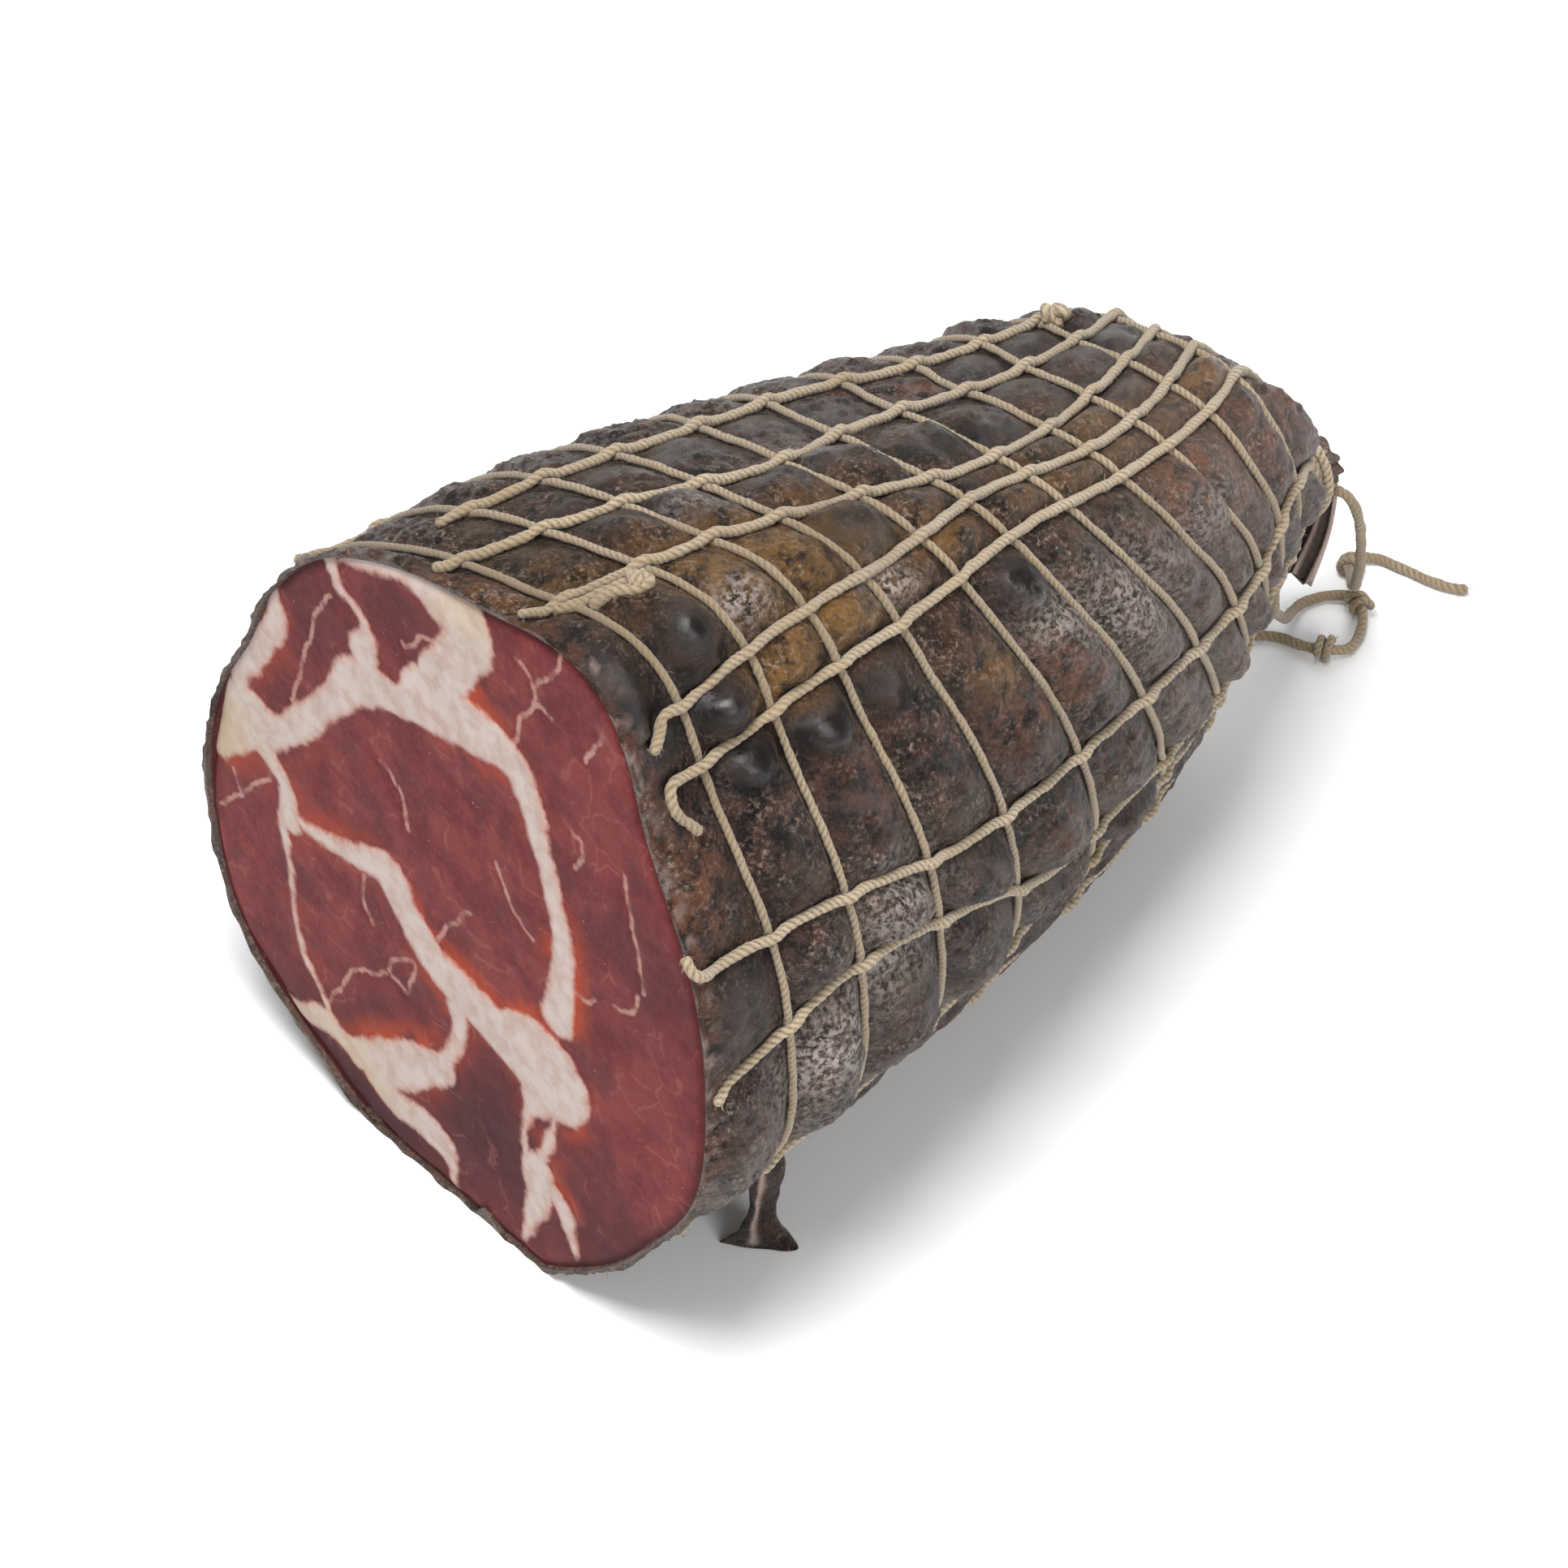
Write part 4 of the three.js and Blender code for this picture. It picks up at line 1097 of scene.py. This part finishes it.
def meat_outline(angle, depth):
    """The edge of the meat at a depth behind the cut: the casing's inner face, with a little play."""
    station = np.full_like(np.asarray(angle, float), station_at(depth))
    height, _, _ = quilt(station, angle)
    inset = CASING_WALL + 0.1 - 0.68 * smooth(depth, 1.4, 0.2) + 0.9 * smooth(depth, 2.0, 6.0)
    height = height + (GROOVE - height) * smooth(depth, 1.0, 4.0)
    return lifted(raised(station, angle, height - inset), inset + 2.5 * smooth(depth, 2.0, 6.0))


def fat_and_veins(flat):
    """How far each point of the cut face is outside the fat, and outside the veins."""
    fat = np.full(len(flat), OFF_THE_FAT)
    for band in FAT_BANDS:
        line = spline(band, 6)
        fat = np.minimum(fat, distance_to_line(flat, line[:, :2], line[:, 2]))
    vein = np.full(len(flat), OFF_THE_FAT)
    for points in VEINS:
        line = spline(points, 5)
        bend = turbulence(np.c_[line, np.zeros(len(line))], 2.5, 71.0) * 0.7
        line = line + np.c_[bend, np.roll(bend, 3)]
        vein = np.minimum(vein, distance_to_line(flat, line, [VEIN_HALF_WIDTH] * len(line)))
    return fat, vein


def cut_face():
    """The cut face as a grid of points, with its shading values and each point's angle round the middle."""
    across, up = disc_grid(FACE_CELLS)
    radius = np.clip(np.hypot(across, up), 0, 1)
    angle = np.degrees(np.arctan2(up, across)) % 360
    edge = meat_outline(angle, 0.0)
    face = FACE_MIDDLE + (edge - FACE_MIDDLE) * radius[..., None]
    flat = face.reshape(-1, 3)[:, [0, 2]]
    fat, vein = fat_and_veins(flat)
    rim = ((1 - radius) * np.linalg.norm(edge - FACE_MIDDLE, axis=-1)).ravel()
    lump = face_spots(flat, LUMP_PLACES)
    relief = turbulence(face, 9.0, 4.0).ravel() * 0.22 + turbulence(face, 2.5, 8.0).ravel() * 0.06
    relief = relief + 0.16 * smooth(fat, 0.4, -0.6) - 0.1 * np.exp(-(vein**2) / 0.2)
    relief = relief - 0.5 * smooth(rim, 2.0, 0.0) - 1.2 * smooth(rim, 6.0, 0.0) * lump
    face[..., 1] = 0.25 - relief.reshape(face.shape[:-1])
    glow, wine = face_spots(flat, GLOW_PLACES), face_spots(flat, WINE_PLACES)
    return face, {"fat": fat, "vein": vein, "rim": rim, "glow": glow, "wine": wine, "lump": lump}, angle


def meat():
    """The cut face, then the sides behind it ring by ring, and one point that closes the tied end."""
    face, shading, angle = cut_face()
    index = np.arange(FACE_CELLS**2).reshape(FACE_CELLS, FACE_CELLS)
    border = np.concatenate([index[0, :-1], index[:-1, -1], index[-1, :0:-1], index[:0:-1, 0]])
    rings = np.array([meat_outline(angle.ravel()[border], depth) for depth in SIDE_DEPTHS])
    rings[:, :, 1] = np.maximum(rings[:, :, 1], 0.6)
    vertices = np.vstack([face.reshape(-1, 3), rings.reshape(-1, 3), [[NECK_X, 151.2, NECK_Z]]])
    faces = grid_faces(FACE_CELLS, FACE_CELLS, False)
    before = border
    for number in range(len(SIDE_DEPTHS)):
        here = index.size + number * len(border) + np.arange(len(border))
        faces += np.stack([before, np.roll(before, -1), np.roll(here, -1), here], -1).tolist()
        before = here
    end_point = np.full(len(border), len(vertices) - 1)
    faces += np.stack([before, np.roll(before, -1), end_point], -1).tolist()
    behind = len(vertices) - index.size
    shading = {key: np.append(values, np.full(behind, INSIDE[key])) for key, values in shading.items()}
    piece = make_mesh("pork_neck", place(vertices), faces, shading)
    finish_piece(piece, MEAT, "cured_pork")


meat()


# ---- The net ----
def casing_stain(vertices):
    """How much twine has taken the casing's stain: darkest on the ochre band and by the cut."""
    points = np.asarray(vertices)
    angle = np.degrees(np.arctan2(points[:, 2] - 50, points[:, 0] - 51)) % 360
    y = points[:, 1]
    patch = spots([(35, 64, 30, 14, 0.5), (5, 80, 8, 60, 0.5), (20, 110, 30, 20, 0.35)], y, angle)
    return np.clip(patch + 0.35 * np.clip(turbulence(points, 14.0, 2.0), 0, 1), 0, 1)


def hoop_stain(vertices):
    """The hoops are dirtier than the strings."""
    return np.clip(casing_stain(vertices) + 0.3, 0, 1)


def hoop_path(number):
    """A hoop lies on the casing, and a little deeper where a string crosses it."""
    angle = np.arange(0, 360, 0.8)
    station = station_at(hoop_y(number, angle))
    height, _, to_string = quilt(station, angle)
    lift = height + 1.15 * HOOP_RADIUS - 0.25 * np.exp(-(to_string**2) / 1.5)
    return lifted(raised(station, angle, lift), 1.5)


def string_path(number):
    """A string lies on the casing and rides over each hoop."""
    start = string_start(number)
    along = np.arange(start, 140, 0.8)
    at_the_end = through(STATION_Y, np.arange(6.6, STRING_END_STATION, 0.03))
    y = np.unique(np.round(np.r_[along, at_the_end], 3))
    angle = string_angle(number, y)
    station = station_at(y)
    height, to_hoop, _ = quilt(station, angle)
    over = np.exp(-((to_hoop / 1.7) ** 2))
    lift = height + 0.95 * STRING_RADIUS + over * 1.25 * HOOP_RADIUS
    return lifted(raised(station, angle, lift), 1.3)


# Loose cut ends in front of some strings: y, angle, and height over the casing.
STRING_HOOKS = {
    1: [(-0.4, 25.6, 0.2), (-0.5, 24.0, 0.7), (0.1, 22.6, 0.8), (1.4, 21.7, 0.5), (3.2, 21.0, 0.3)],
    2: [(7.0, 39.2, 0.4), (5.6, 41.2, 0.5), (4.2, 43.6, 0.7), (5.2, 45.8, 0.9)],
    3: [(3.4, 50.6, 0.4), (5.2, 51.6, 0.6), (6.6, 53.4, 0.9)],
    6: [(10.5, 104.5, 0.3)],
}


def on_casing(y, angle, above):
    """A point over the casing. A y below 0 is in front of the cut."""
    station = station_at(y)
    height, _, _ = quilt(station, angle)
    point = raised(station, angle, height + above)
    point[1] += min(y, 0)
    return point


def string_piece(number):
    path = string_path(number)
    if number in STRING_HOOKS:
        hook = [on_casing(y, angle, above + STRING_RADIUS * 0.6) for y, angle, above in STRING_HOOKS[number]]
        # The hook takes the place of the string's first few points.
        skip = 4 if number < 3 else 6
        path = np.vstack([spline(hook + [path[skip], path[skip + 3]], 8)[:-8], path[skip:]])
    parts = [rope(path, STRING_RADIUS, STRING_SEED + number)]
    twine_piece(f"net_string_{number + 1:02d}", parts, f"lengthwise_string_{number + 1:02d}", casing_stain)


def hoop_piece(number):
    parts = [rope(hoop_path(number), HOOP_RADIUS, HOOP_SEED + number, closed=True)]
    twine_piece(f"net_hoop_{number + 1:02d}", parts, f"hoop_{number + 1:02d}", hoop_stain)


for number in range(len(HOOPS)):
    hoop_piece(number)
for number in range(STRING_COUNT):
    string_piece(number)


# ---- Binding and knots of the net ----
# Each winding: turns, its first y, its reach along y, its radius, how far it tilts along y, and its seed.
WINDINGS = [(3.0, 153.6, 3.3, 4.6, 0.0, 1), (1.0, 155.0, 0.4, 5.9, 0.9, 2)]


def binding():
    """Turns of twine round the neck, with a crossing turn on top."""
    parts = []
    part = np.linspace(0, 1, 220)
    for turns, start, reach, radius, tilt, seed in WINDINGS:
        turn = 2 * np.pi * turns * part + seed
        y = start + reach * part + tilt * np.sin(turn)
        path = np.stack([NECK_X + radius * np.cos(turn), y, NECK_Z + radius * np.sin(turn)], -1)
        parts.append(rope(path, 0.72, BINDING_SEED + seed))
    twine_piece("neck_binding", parts, "end_binding")


TOP_KNOT_Y, TOP_KNOT_ANGLE, TOP_KNOT_SIZE = 124.5, 114, 1.25


def top_knot():
    """A lump of knotted twine on the casing: loops pulled over each other, with two short ends."""
    middle = on_casing(TOP_KNOT_Y, TOP_KNOT_ANGLE, 1.2)
    normal = outward(station_at(TOP_KNOT_Y), TOP_KNOT_ANGLE)
    along = unit(np.cross(normal, [0.3, -0.2, 1.0]))
    across = np.cross(normal, along)
    turn = np.linspace(0, 2 * np.pi * 1.9, 90)
    path = moved(
        middle,
        (along, TOP_KNOT_SIZE * np.cos(turn) * (1 + 0.2 * np.cos(3 * turn))),
        (across, TOP_KNOT_SIZE * 0.6 * np.sin(2 * turn)),
        (normal, TOP_KNOT_SIZE * 0.6 * (1 + np.sin(1.5 * turn))),
    )
    twine_piece("top_knot_twine", [rope(path, 0.78, 110)], "top_knot")


# The doubled end of a string at the front: y, angle, and height over the casing; then the lump round it.
FRONT_KNOT_ROUTE = [
    (5.5, 73.5, 0.6), (8, 72, 0.8), (10.5, 70.6, 0.9), (13, 69.4, 1.0), (14.8, 68.6, 1.3), (15.2, 67.4, 1.0),
    (13.6, 67.6, 0.7), (11, 69, 0.6), (8.6, 70.4, 0.5),
]
FRONT_LUMP = (14.2, 68.4, 1.0)


def front_knot():
    """The blunt doubled end of a string that lies along the casing behind the cut."""
    path = spline([on_casing(*point) for point in FRONT_KNOT_ROUTE], 8)
    turn = np.linspace(0, 2 * np.pi * 2.2, 50)
    y, angle, _ = FRONT_LUMP
    normal = outward(station_at(y), angle)
    along = unit(on_casing(16, 67.6, 1) - on_casing(12, 69.6, 1))
    across = np.cross(normal, along)
    steps = (across, 1.25 * np.cos(turn)), (normal, np.sin(turn)), (along, np.linspace(-0.8, 0.8, 50))
    wrap = moved(on_casing(*FRONT_LUMP), *steps)
    parts = [rope(path, 0.8, 120), rope(wrap, 0.6, 121, lay=2.6)]
    twine_piece("front_knot_twine", parts, "front_knot", casing_stain)


binding()
top_knot()
front_knot()


# ---- Floor and light ----
FLOOR_HALF = 4.0
LOOK_AT = (0, 0, 0.04)


def add_floor():
    mesh = bpy.data.meshes.new("floor")
    corners = [(x * FLOOR_HALF, y * FLOOR_HALF, 0) for x, y in ((-1, -1), (1, -1), (1, 1), (-1, 1))]
    mesh.from_pydata(corners, [], [(0, 1, 2, 3)])
    mesh.materials.append(floor_material())
    link("floor", mesh)


def add_light(name, position, size, power):
    """A square lamp: where it hangs and its side in metres, and its power in watts."""
    data = bpy.data.lights.new(name, "AREA")
    data.shape = "SQUARE"
    data.size = size
    data.energy = power
    light = link(name, data)
    light.location = position
    face_along(light, Vector(LOOK_AT) - Vector(position))


def add_world():
    world = bpy.data.worlds.new("studio")
    world.use_nodes = True
    background = world.node_tree.nodes["Background"]
    background.inputs["Color"].default_value = (1.0, 1.0, 1.0, 1)
    background.inputs["Strength"].default_value = 0.42
    bpy.context.scene.world = world


add_floor()
add_light("key", (0.12, -0.26, 0.82), 0.36, 9.6)
add_light("back", (-0.35, 0.45, 0.7), 0.6, 1.6)
add_light("side", (0.85, -0.2, 0.5), 0.4, 5.5)
add_world()
bpy.context.scene.view_settings.view_transform = "Standard"
